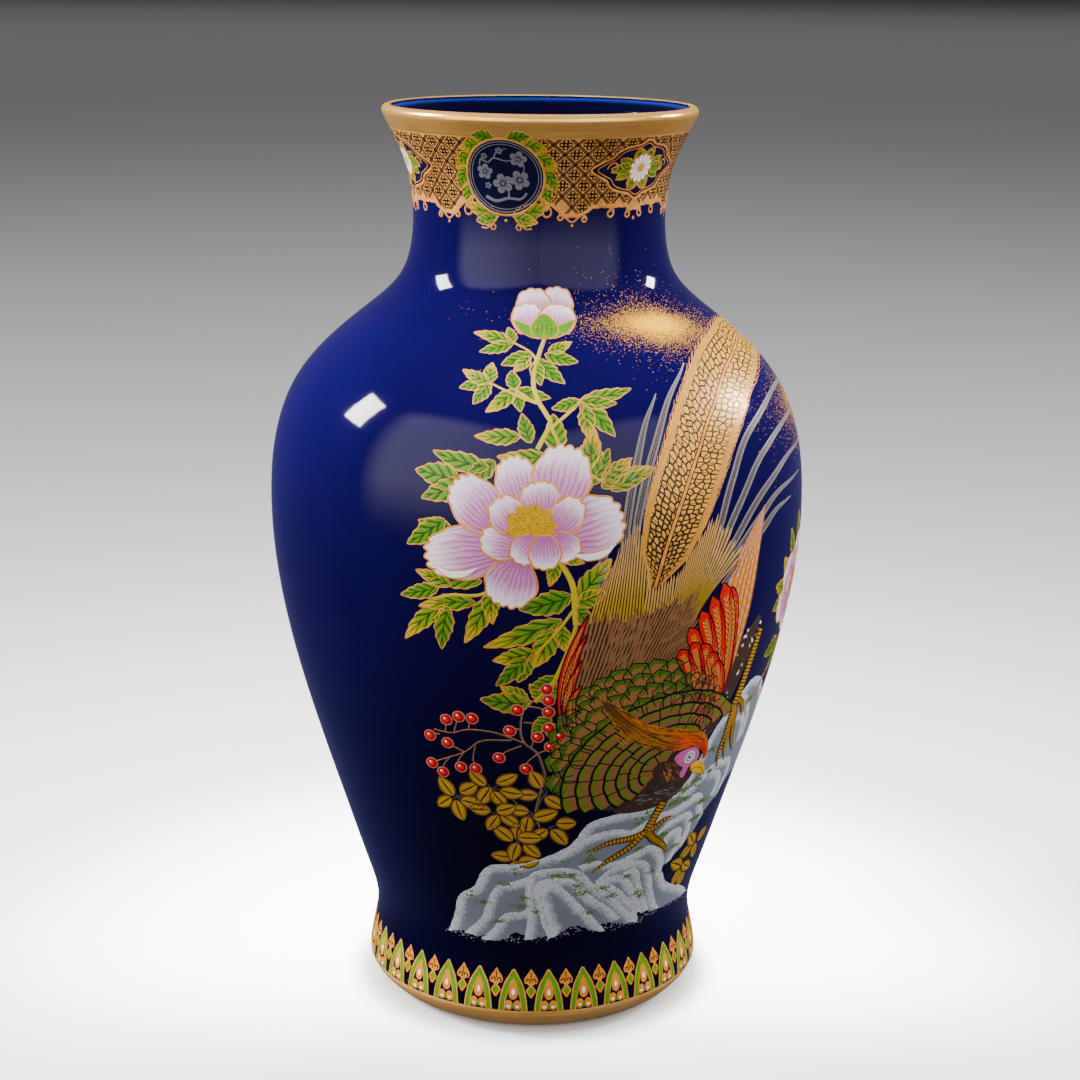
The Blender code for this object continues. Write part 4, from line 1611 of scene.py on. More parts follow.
def berries():
    """The twigs with red berries at the left."""
    sheet = Sheet("berries", BERRY_CHART)
    twigs = (
        ((20, 8), (18, 16), (14, 20), (13, 25), (14.5, 33), (20, 38)),
        ((14, 20), (5, 23.5), (-4, 24), (-10, 22), (-16, 22.5)),
        ((10, 21), (0, 20), (-6, 15), (-16, 10)), ((20, 8), (18, 0), (16, -8), (17, -14)),
        ((-4, 24), (-3.5, 27), (-2.6, 28.2)), ((-9, 22.6), (-8, 26), (-7.2, 28.2)),
        ((-12, 22.2), (-11.6, 25), (-11.4, 26.6)), ((-6, 15), (-9, 16.5), (-11.2, 17.8)),
        ((-6, 15), (-8.5, 11), (-7.6, 9.4)), ((-2, 18.5), (-3.2, 13), (-2.6, 9.6)),
        ((-11, 12.6), (-13.5, 9), (-14, 6.6)), ((13, 25), (11, 25.6), (9.8, 24.9)),
        ((14, 31), (13.2, 32.2), (12.5, 32.6)), ((18, 16), (20.5, 17.2), (22, 18.5)),
        ((16, 18), (17, 21), (18.2, 22.3)), ((14, 28), (18, 27.5), (21.8, 26.2)),
        ((15, 34), (18.5, 33.6), (22, 32.2)), ((18, 16), (14.5, 12.5), (14, 10.4)),
        ((13, 19), (8, 16.5), (5.8, 14.4)), ((-14, 21), (-16.6, 20.6), (-17.4, 20.2)),
    )
    for n, path in enumerate(twigs):
        width = 1.1 if n in (0, 3) else 0.6
        ribbon(sheet, smooth(path, 20), width, "twig", 0.03, height=0.04, step=0.9, taper=(1, 0.8, 0.5))
        ribbon(sheet, smooth(path, 20) + (0.1, 0.25), 0.18, "gold_line", 0.05, height=0.03, step=0.9)
    spots = (
        (-11.3, 27), (-7, 28.7), (-2.5, 28.5), (-17.5, 20), (-11.5, 18), (9.5, 24.7), (12.3, 32.7),
        (22, 40.5), (22.2, 32), (22, 26), (18.3, 22.5), (22.3, 18.7), (5.5, 14), (14, 10), (-17.7, 9),
        (-14, 6), (-7.5, 9), (-2.5, 9), (22.4, 36.4), (25.5, 22.8),
    )
    for x, y in spots:
        disc(sheet, x, y, 1.95, "berry", 0.07, dome=0.12, rings=4, sides=18)
        ring(sheet, x, y, 1.95, 0.5, "berry_rim", 0.07, height=0.05, step=0.7)
        disc(sheet, x - 0.55, y + 0.6, 0.42, "petal_white", 0.20, rings=1, sides=8)
    for base, tip, width in (
        ((16, 35), (0.5, 36), 7.6), ((22, 36), (16.5, 42.5), 4.4), ((23, 30), (16.5, 23.5), 5),
        ((23, 28), (23.5, 20.5), 4.4), ((21, 37), (27.5, 43), 4.6),
    ):
        draw_leaf(sheet, base, tip, width, 0.045)
    sheet.build()


def golden_leaves():
    """Sprigs of golden leaves, each a node and the places its leaves point to."""
    sheet = Sheet("golden_leaves")
    left, right = BERRY_CHART, BIRD_CHART
    groups = (
        (left, (-9.4, -3.4), ((-13.4, 0.2), (-14.6, -6.4), (-9.2, -9.0), (-5.6, 0.6), (-4.8, -5.6))),
        (left, (2.6, 1.4), ((-2.0, 5.4), (7.4, 5.8), (-0.4, -1.8), (4.6, -2.6), (8.8, 0.4))),
        (left, (18.6, 0.6), ((13.4, -0.4), (22.6, 4.4), (22.4, -3.8), (17.0, 5.6))),
        (left, (3.2, -9.0), ((-2.2, -7.4), (1.8, -12.8), (7.6, -11.6), (6.4, -6.6))),
        (left, (14.6, -9.0), ((10.2, -7.2), (19.2, -8.6), (13.2, -13.4))),
        (left, (20.4, -14.0), ((26.0, -12.6), (23.2, -18.4), (16.8, -17.4))),
        (left, (9.4, -19.6), ((4.6, -17.2), (13.6, -18.6), (8.4, -24.6), (14.2, -23.8), (10.2, -15.4))),
        (left, (8.4, -28.2), ((4.0, -26.8), (12.6, -28.6), (8.0, -32.0))),
        (right, (24, -35.0), ((20.0, -32.4), (28.4, -33.4), (25.0, -39.4), (18.4, -37.0))),
        (right, (19, -43.0), ((14.2, -41.4), (22.6, -44.6), (16.6, -47.8), (21.0, -50.0))),
    )
    for chart, node, places in groups:
        sheet.on(chart)
        node = np.array(node)
        for place in places:
            place = np.array(place)
            turn = math.atan2(*(place - node)[::-1]) + draws.uniform(-0.3, 0.3)
            out = np.array([math.cos(turn), math.sin(turn)])
            length = draws.uniform(3.5, 4.5)
            ribbon(
                sheet, smooth([node, (node + place) / 2 + (0.2, 0.1), place], 8), 0.4, "twig", 0.03,
                height=0.02, step=0.5,
            )
            draw_leaf(
                sheet, place - out * length, place + out * length, draws.uniform(4.8, 5.8),
                0.04 + draws.uniform(0, 0.06), bend=draws.uniform(-25, 25), colour="golden_leaf",
                line="umber", edge=0.4, teeth=0.0, shape=ROUND_SHAPE,
            )
    for path in (
        ((17, -14), (16.4, -8), (18, -3), (20.4, 1)), ((16.5, -9), (10, -9.6), (6, -8)),
        ((16.5, -12), (12, -17), (9.6, -21)), ((5.6, 2), (10, -4), (16, -9)),
        ((-10.5, -3.6), (-4, -2.2), (2, -2), (6, -5)),
    ):
        ribbon(sheet.on(left), smooth(path, 16), 0.6, "twig", 0.03, height=0.03)
    sheet.build()


ROCK_SLABS = (
    (
        (
            (-48, -11), (-46, -3), (-45, 6), (-40, 11), (-36, 20.5), (-25, 22.5), (-14, 27), (-8, 32),
            (-4, 39), (6, 41.5), (14, 42), (20, 42.5), (27, 45),
        ),
        ((44, 38), (30, 20), (10, 5), (-20, -6), (-38, -8), (-41, -9.5), (-45, -10)),
    ),
    (
        (
            (-14, 26), (-8, 30), (-4, 33.5), (5, 35), (12, 33.5), (17, 36), (22, 38), (28, 38),
            (34, 39.5), (40, 41), (43.5, 39), (44, 34),
        ),
        ((42, 28), (30, 18), (10, 16), (-5, 19), (-12, 22)),
    ),
    (((22, 29), (27, 33), (33, 34.5), (38, 34), (39, 30), (39.5, 25), (37, 20)), ((30, 14), (24, 20))),
    (((24, 22), (27, 26.5), (32, 28.5), (34.5, 26), (35, 21), (32, 15)), ((27, 13), (24, 16))),
    (
        ((-6, 21), (0, 22.5), (7, 21), (14, 23), (20, 25), (25, 22), (28, 17), (28.5, 10)),
        ((24, 6), (10, 10), (0, 14)),
    ),
    (
        ((26, 11.5), (29, 10.5), (31, 6), (36, 2), (44, -2), (53, -8.5)),
        ((46, -7.5), (38, -7), (31, -6.5), (27, -3), (24, 5)),
    ),
    (((-41.5, -10), (-36, -2), (-33, 11), (-26, 15), (-20, 18.5)), ((-17, 0), (-25, -5), (-36, -10.5))),
    (
        ((-35.5, -11.5), (-31, -6), (-28.5, 0), (-22, 2), (-20.6, 6)),
        ((-19.5, -9), (-24, -7.5), (-27, -10.5), (-31, -12)),
    ),
    (
        ((1, 13.5), (6, 18), (14, 19.5), (19, 18.5), (22, 15), (25, 5), (28, -2), (31, -6.5)),
        ((27, -6.5), (22, -4), (12, 0), (4, 6)),
    ),
    (((11, 15.5), (15, 16.4), (17.6, 14), (18.8, 9), (22, 2), (25.5, -5)), ((22, -6), (17, 0), (12, 8))),
    (((2, 13), (8, 15), (12, 13.4), (16, 8), (19, 2), (22, -4.5)), ((18, -5), (11, 0), (5, 7))),
    (((-1, 12.2), (4, 12.4), (9, 9.5), (14, 4), (18, -1), (21, -8)), ((14, -6), (6, 0), (0, 6))),
    (
        (
            (-20.5, -10.5), (-20.5, 0), (-22.5, 14), (-19.5, 19.5), (-10, 20.5), (-4, 18), (0, 13),
            (8, 6), (14, -1), (21, -9),
        ),
        ((15, -8), (7, -5.5), (-2, -4.5), (-10, -6), (-14, -9), (-17, -10)),
    ),
    (
        (
            (-12.5, -10.2), (-16, -1), (-19.3, 12.5), (-15.5, 16.2), (-8.5, 16), (-4, 12.5), (0.5, 7),
            (7, 1.5), (13, -5),
        ),
        ((7, -6), (0, -5.5), (-5, -5), (-10, -9)),
    ),
    (
        (
            (-10.8, -9.5), (-14, -1), (-17.4, 10), (-15, 13.6), (-12, 13.8), (-8, 9.5), (-2.5, 3),
            (3, -3.5), (7.5, -9.2),
        ),
        ((3, -8.6), (-2, -5.4), (-7, -5), (-9.5, -8)),
    ),
)
UPPER_SLABS = (
    (
        (
            (-4, -12), (3, -8), (9, 2), (13.5, 13), (20, 22), (28, 27), (33, 29.5), (40, 28), (47, 23),
            (52, 14), (54.5, 4), (53, -5),
        ),
        ((46, -10), (36, -12), (20, -14), (5, -20)),
    ),
    (((17, 17), (22, 23), (29, 24.6), (35, 20), (39, 13), (40, 5)), ((30, 1), (20, 3))),
    (((22, 11), (26, 16.4), (32, 16.2), (36, 11), (37, 4)), ((29, 1), (23, 3))),
    (
        ((1, -10.5), (9, -7), (15, -3), (22, 0), (29, -1.2), (33.5, -3), (35, -9), (31, -17)),
        ((23, -21), (9, -22), (1, -16)),
    ),
    (((20, -3.6), (26, -5.6), (28.6, -10), (27, -16)), ((20, -15), (17, -8))),
    (
        ((-2, -14.5), (5, -13.6), (12, -11), (17.5, -12.6), (20, -18), (23, -22)),
        ((20, -28), (12, -35), (3, -32), (-1, -24)),
    ),
    (((0, -19.5), (7, -18.6), (13, -18.4), (15.4, -22), (13.6, -28)), ((8, -32), (2, -28))),
    (((3, -25), (7, -23.4), (10.6, -24.4), (11, -28)), ((7, -31), (4, -29))),
)
MOSS = (
    (-12, 17.8, 4), (-8, 17.6, 3), (-5, 12.5, 3), (-2.5, 9.5, 3), (4, 10.4, 3), (8, 6.4, 3),
    (-24, 4.5, 3.2), (-22.5, 8, 2), (-36, 5, 2.4), (-30, -3, 2.4), (12.5, 13.8, 2.2), (19, 5, 2.6),
    (20, 3, 2), (0.5, 0.4, 2.2), (28, 41.6, 4), (34, 41.4, 2.6), (24, 28, 3), (-2, 23.4, 3), (16, 25, 2),
    (-30, 14, 2.4), (23, 13, 2), (-18, 2, 1.6), (44, 37, 2.4), (40, 30, 2), (33, 21, 2.4),
)
UPPER_MOSS = (
    (16, 7, 2.4), (34, 21, 3), (28, 22, 2), (6, -6.4, 3), (12, -4.6, 3), (18, -2.6, 2), (2, -24, 2),
    (18, -15, 2), (19, -22, 2),
)


def moss(sheet, places):
    """Tufts of small green spots about places that each have a reach."""
    for x, y, reach in places:
        for n in range(int(26 * reach)):
            px, py = x + draws.normal(0, reach * 0.5), y + draws.normal(0, reach * 0.24)
            disc(sheet, px, py, draws.uniform(0.12, 0.3), "moss_green", 0.175, rings=1, sides=5)


def rocks():
    """Slabs of rock from back to front, each a frosted ridge and a foot, with moss on them."""
    sheet = Sheet("rocks")
    tufts = Sheet("rock_moss")
    placed = [(BIRD_CHART, slab) for slab in UPPER_SLABS] + [(ROCK_CHART, slab) for slab in ROCK_SLABS]
    for n, (chart, (ridge, foot)) in enumerate(placed):
        sheet.on(chart)
        ridge = even(smooth(ridge, 60), 1.2)
        ridge = ridge + draws.normal(0, 0.10, ridge.shape)
        foot = even(np.concatenate([ridge[-1:], foot, ridge[:1]]), 0.8)[1:-1]
        foot = foot + draws.normal(0, 0.22, foot.shape)
        lift = 0.03 + 0.005 * n

        def near(x, y, ridge=ridge):
            return distance(ridge, x, y) / 3.4

        fill(sheet, np.concatenate([ridge, foot]), "rock", lift, step=1.0, shade=near)
        ribbon(sheet, ridge, 0.75, "frost", lift + 0.006, height=0.03, taper=(0.3, 1, 1, 1, 0.3))
    moss(tufts.on(ROCK_CHART), MOSS)
    moss(tufts.on(BIRD_CHART), UPPER_MOSS)
    tufts.on(ROCK_CHART)
    edge = even(
        [
            (-48, -10.5), (-36, -11), (-28, -10), (-20, -10), (-10, -9), (0, -6), (8, -8), (21, -8.5),
            (30, -6.5), (40, -7), (52, -8.6),
        ],
        0.25,
    )
    for x, y in edge:
        disc(
            tufts, x + draws.normal(0, 0.6), y + draws.normal(0, 0.8), draws.uniform(0.08, 0.22),
            "frost", 0.03, rings=1, sides=5,
        )
    sheet.build()
    tufts.build()


TAIL = (
    (24.1, 166.7), (26.6, 180.3), (30.2, 193.9), (35, 206.8), (42.3, 218.9), (57, 229.7), (82.3, 234.4),
    (104, 229.5), (122, 219.5),
)
TAIL_HALF = (1.0, 8.4, 11.2, 12.2, 12.4, 12.4, 12.0, 11.2, 9.8, 7.6, 4.6, 0.3)
PLUMES = (
    ((17.0, 172.0), (18.0, 189.4), (20.2, 204.4), (23.7, 217.1), (28.7, 225.5)),
    ((19.0, 176.0), (20.6, 192.2), (24.3, 208.4), (31.2, 223.3), (41.7, 232.7)),
    ((13.0, 168.0), (13.2, 178.0), (15.4, 190.0)),
    ((34.0, 168.0), (38.3, 179.4), (43.6, 197.4), (52.3, 210.9), (72.7, 219.3), (96.0, 218.0)),
    ((35.5, 168.0), (39.9, 177.4), (45.9, 190.4), (54.5, 202.5), (70.1, 209.6), (90.0, 209.6)),
    ((37.0, 166.0), (42.3, 175.1), (50.1, 187.6), (58.7, 194.9), (68.8, 199.4), (84.0, 200.0)),
    ((39.0, 165.0), (45.3, 174.9), (52.6, 183.6), (60.6, 189.4), (75.0, 191.6)),
    ((41.0, 164.0), (47.9, 173.4), (54.2, 179.8), (59.4, 183.8), (67.0, 185.4)),
)


def tail_feathers():
    """The narrow side plumes and the long golden tail feather with its barbs."""
    plumes = Sheet("side_plumes")
    for n, course in enumerate(PLUMES):
        width = (0.9, 1.35, 1.45, 1.3, 1.0, 0.6, 0.1)
        path = station_path(course, 46)
        rise = 0.006 * n
        strip_round(plumes, path, width, "side_plume", 0.03 + rise, 5)
        for edge in edges_round(path, width):
            line_round(plumes, edge, 0.22, "silver_grey", 0.035 + rise, 0.03)
        line_round(plumes, path, 0.2, "silver_grey", 0.04 + rise, 0.03)
    plumes.build()
    sheet = Sheet("tail_feather")
    middle = station_path(TAIL, 110)
    strip_round(sheet, middle, TAIL_HALF, "tail", 0.085, 13)
    line_round(sheet, middle[:-2], 2.0, "ink", 0.09, 0.01, (1, 0.9, 0.7, 0.4))
    line_round(sheet, middle[:-2], 1.2, "gold_line", 0.095, 0.08, (1, 0.9, 0.7, 0.4))
    for edge in edges_round(middle, TAIL_HALF):
        for n in range(2, 104, 2):
            out = edge[n] - middle[n]
            run = middle[n + 3] - middle[n]
            end = edge[n] + out * draws.uniform(0.05, 0.09) + run * 1.3
            tip = np.stack([edge[n] - out * 0.12, edge[n] + out * 0.02 + run * 0.5, end])
            line_round(sheet, smooth(tip, 6), 0.55, "gold_line", 0.08, 0.03, (1, 0.8, 0.2))
    sheet.build()


def draw_feather(sheet, path, half, finish, lift, line, width=0.35, columns=7, rows=24):
    """A feather along a path from its root to its tip, with a dark edge."""
    centre = smooth(even(smooth(path, 40), 1.0), rows)
    tint = draws.uniform(0, 1)
    outline = strip(sheet, centre, spread(half, rows), finish, lift, columns, 0.03, tint)
    ribbon(sheet, outline, width, line, lift + 0.01, closed=True, height=0.03, step=0.9)


def draw_sheaf(sheet, root, middle, tip, strands, lift, jag, tint):
    """Strands side by side; root, middle and tip give their points from the share across the sheaf."""
    share = np.linspace(0, 1, strands * 4 + 1)
    count = np.minimum((share * strands).astype(int), strands - 1)
    start, half, end = (
        np.stack(np.broadcast_arrays(*function(share)), 1) for function in (root, middle, tip)
    )
    along = (end - half) / np.linalg.norm(end - half, axis=1)[:, None]
    back = jag * np.abs(2 * ((share * strands) % 1) - 1) + jag * draws.uniform(-0.6, 0.6, strands)[count]
    end = end - along * back[:, None]
    v = np.linspace(0, 1, 15)[:, None, None]
    points = start * (1 - v) * (1 - 2 * v) + half * 4 * v * (1 - v) + end * v * (2 * v - 1)
    u, v = np.broadcast_arrays(share[None, :] * strands, v[..., 0])
    patch(sheet, points[..., 0], points[..., 1], "strand", lift, u, v, 0.5, tint)


def back_feathers():
    """The fine plumes of the back, up to the root of the tail."""
    sheet = Sheet("back_plumes", BACK_CHART)
    draw_sheaf(
        sheet, lambda t: (-46 + 26 * t, -54 + 6 * t), lambda t: (-43.6 + 20.5 * t, -29 + 2 * t),
        lambda t: (
            -38.5 + 15 * t,
            -13 + 17 * np.minimum(t * 1.5, 1) ** 0.8 - 17 * np.maximum(t - 0.72, 0) / 0.28,
        ),
        19, 0.06, 3.0, 1.0,
    )
    draw_sheaf(
        sheet, lambda t: (-32 + 20 * t, -52 + 4 * t), lambda t: (-27 + 13 * t, -34 + 3 * t),
        lambda t: (-25 + 11 * t, -14.0 - 3.0 * np.sin(t * math.pi)), 11, 0.075, 2.6, 1.0,
    )
    draw_sheaf(
        sheet, lambda t: (-22 + 14 * t, -50 + 9 * t), lambda t: (-17 + 14.5 * t, -31 + 5 * t),
        lambda t: (
            -14.5 + 28 * t,
            -15 + 17 * np.sin(np.minimum(t * 1.7, 1) * 1.5708) - 15 * np.maximum(t - 0.62, 0) / 0.38,
        ),
        24, 0.09, 3.4, 1.0,
    )
    for row in range(7):
        def raised(x, wide, y, tall, rise=21.0 - 3.6 * row):
            return lambda t: (x + wide * t, y + tall * t + rise * (1 - 0.25 * t))

        root = raised(-46.5, 38, -58, 14)
        middle = raised(-46.2, 40, -53.5, 13.6)
        tip = raised(-45.6, 42, -48.5, 12.6)
        draw_sheaf(sheet, root, middle, tip, 27 + 3 * (row % 2), 0.102 + 0.004 * row, 4.2, 0.0)
    sheet.build()


def wing():
    """The orange flight feather, the dark one behind it and the red ones over both."""
    sheet = Sheet("wing_feathers", BIRD_CHART)
    path = ((3, 12), (8, 20), (15, 34), (22, 46), (28, 55))
    draw_feather(sheet, path, (5.5, 6.5, 7, 7, 6, 3.5, 0.5), "umber", 0.04, "twig", columns=9)
    for n in range(46):
        t = draws.uniform(0.02, 0.92)
        x = np.interp(t, (0, 0.25, 0.5, 0.75, 1), (3, 8, 15, 22, 28)) + draws.uniform(-5, 5)
        y = np.interp(t, (0, 0.25, 0.5, 0.75, 1), (12, 20, 34, 46, 55)) - draws.uniform(-2.5, 2.5)
        disc(sheet, x, y, draws.uniform(0.35, 0.7), "petal_white", 0.06, rings=1, sides=8)
    draw_feather(
        sheet.on(BACK_CHART), ((12, -56), (12, -38), (14.5, -22), (19, -10), (25.5, 1.6)),
        (2.8, 5.2, 7.0, 7.8, 7.2, 5.4, 3.0, 0.2), "orange_feather", 0.07, "bark", 0.3, columns=9,
    )
    sheet.build()
    red = Sheet("red_feathers", BACK_CHART)
    upper = (
        (((13, -60), (13, -48), (12, -34), (9.5, -22.5)), 1.9),
        (((11, -62), (11.5, -50), (9.5, -34), (5, -20.5)), 2.6),
        (((9, -62), (8, -50), (5, -36), (0.5, -24.2)), 2.4),
        (((7, -60), (4.5, -48), (1, -38), (-3.5, -28.6)), 2.4),
        (((4, -58), (0, -48), (-4, -40), (-7.6, -33.8)), 2.2),
    )
    lower = (
        (((0, -58), (-3, -52), (-7, -46), (-10.5, -41.2)), 2.1),
        (((3, -60), (0, -54), (-2.5, -46), (-5.5, -39.2)), 2.2),
        (((6, -62), (4.5, -55), (2.5, -47), (-1.2, -40.6)), 2.2),
        (((9, -63), (8, -57), (6, -50), (2.6, -44.4)), 2.1),
        (((11, -64), (10.5, -58), (9, -53), (5.6, -48.6)), 2.0),
    )
    for n, (path, width) in enumerate(upper + lower):
        draw_feather(
            red, path, np.array((0.6, 0.8, 0.95, 1, 1, 1, 1, 1, 1, 1, 0.97, 0.84, 0.08)) * width * 1.22,
            "red_feather", 0.085 + 0.009 * n, "ink", 0.5, columns=7,
        )
    cape_edge = (
        ((-47, -64), (-48.8, -50), (-47.5, -38), (-43.6, -25.5)),
        ((-45, -66), (-47.2, -54), (-46.6, -42), (-43.4, -32)),
        ((-43.5, -68), (-46.2, -58), (-46, -49), (-43.8, -41)),
        ((-42, -68), (-44.4, -62), (-44.8, -55), (-42.6, -50)),
    )
    for n, path in enumerate(cape_edge):
        draw_feather(red, path, (0.9, 1.5, 1.6, 1.5, 1.1, 0.2), "red_feather", 0.10 + 0.008 * n, "ink", 0.5)
    red.build()


def draw_scale(sheet, x, y, degrees, width, length, finish, lift, point, edge):
    """A scale-shaped feather whose free end points along a direction."""
    u = np.linspace(-1, 1, 9)[None, :]
    v = np.linspace(0, 1, 7)[:, None]
    reach = 1 - 0.42 * np.abs(u) ** point
    out, side = heading(degrees), heading(degrees - 90)
    px = x + out[0] * length * v * reach + side[0] * width / 2 * u
    py = y + out[1] * length * v * reach + side[1] * width / 2 * u
    u, v = np.broadcast_arrays(u, v)
    patch(sheet, px, py, finish, lift + 0.02 * v * (1 - u**2), u, v, 0.5, draws.uniform(0, 1))
    ribbon(sheet, round_grid(px, py), edge, "ink", lift + 0.012, height=0.035, step=0.8)


def cape():
    """The green scaled rows over the back and the banded cape of the neck."""
    sheet = Sheet("cape", BIRD_CHART)
    ground = smooth(
        (
            (-16, -9), (-27, -8), (-38, -5), (-44, 6), (-45, 28), (-38, 40), (-28, 46), (-15, 47.5),
            (-3, 44), (6, 38), (9, 28), (8, 12), (2, -6),
        ),
        80, closed=True,
    )
    fill(sheet, ground, "umber", 0.05, step=2.0)
    rows = (
        (((-44.5, 22), (-42, 31), (-37, 37), (-30, 41), (-20, 43), (-10, 41.5), (-2, 37)), 11, 6.2),
        (((-43.5, 13), (-42, 22), (-38, 30), (-31, 36), (-20, 38.6), (-9, 37), (-2, 32)), 12, 6.6),
        (((-41, 5), (-39.5, 16), (-35, 26), (-26, 33), (-16, 34), (-8, 32), (-2, 27)), 12, 7.0),
        (((-38, 3), (-36, 13), (-31, 22), (-23, 28), (-13, 29.5), (-5, 27)), 10, 7.0),
    )
    centre = np.array((-9, 10))
    for n, (path, count, length) in enumerate(rows):
        for x, y in smooth(path, count):
            out = math.degrees(math.atan2(y - centre[1], x - centre[0]))
            draw_scale(sheet, x, y, out, 8.8, length, "covert", 0.135 + 0.009 * n, 1.0, 0.42)
    small = (
        ((-2, 37.5), (7, 34)), ((-1, 33.5), (8, 30)), ((0, 29.5), (8, 26)), ((0, 25.5), (7, 22)),
        ((1, 21.5), (6, 19)),
    )
    for row, ends in enumerate(small):
        for x, y in smooth(ends, 4):
            draw_scale(sheet, x + (row % 2) * 1.3, y, 78, 3.9, 3.6, "bark", 0.172 + 0.002 * row, 2.0, 0.4)
    bands = (
        (35, 29.5, 207), (30.2, 25, 213), (25.6, 20.8, 220), (21, 17, 228), (16.8, 13.6, 234),
        (12.6, 10.4, 234), (8.6, 7.4, 226),
    )
    for row, (wide, tall, start) in enumerate(bands):
        gone = wide - 4.7
        fallen = tall - 4.2
        end = 34 + row * 6
        count = max(int(round(math.radians(start - end) * (wide + tall) / 2 / 7.6)), 3)
        cuts = np.radians(np.linspace(start, end, count + 1))
        for n in range(count):
            a = np.linspace(cuts[n], cuts[n + 1], 8)[None, :]
            v = np.linspace(0, 1, 6)[:, None]
            bulge = 0.35 * (1 - np.linspace(-1, 1, 8)[None, :] ** 2) * v
            px = -7 + (gone + (wide - gone) * v + bulge) * np.cos(a)
            py = 5 + (fallen + (tall - fallen) * v + bulge) * np.sin(a)
            u, v = np.broadcast_arrays(np.linspace(-1, 1, 8)[None, :], v)
            lift = 0.178 + 0.004 * row
            patch(sheet, px, py, "hackle", lift + 0.01 * v, u, v, 0.5, draws.uniform(0, 1))
            ribbon(sheet, np.stack([px[-1], py[-1]], 1), 0.85, "ink", lift + 0.015, height=0.035, step=0.9)
            ribbon(
                sheet, np.stack([px[:, -1], py[:, -1]], 1), 0.45, "ink", lift + 0.02, height=0.03,
                step=0.9,
            )
    sheet.build()


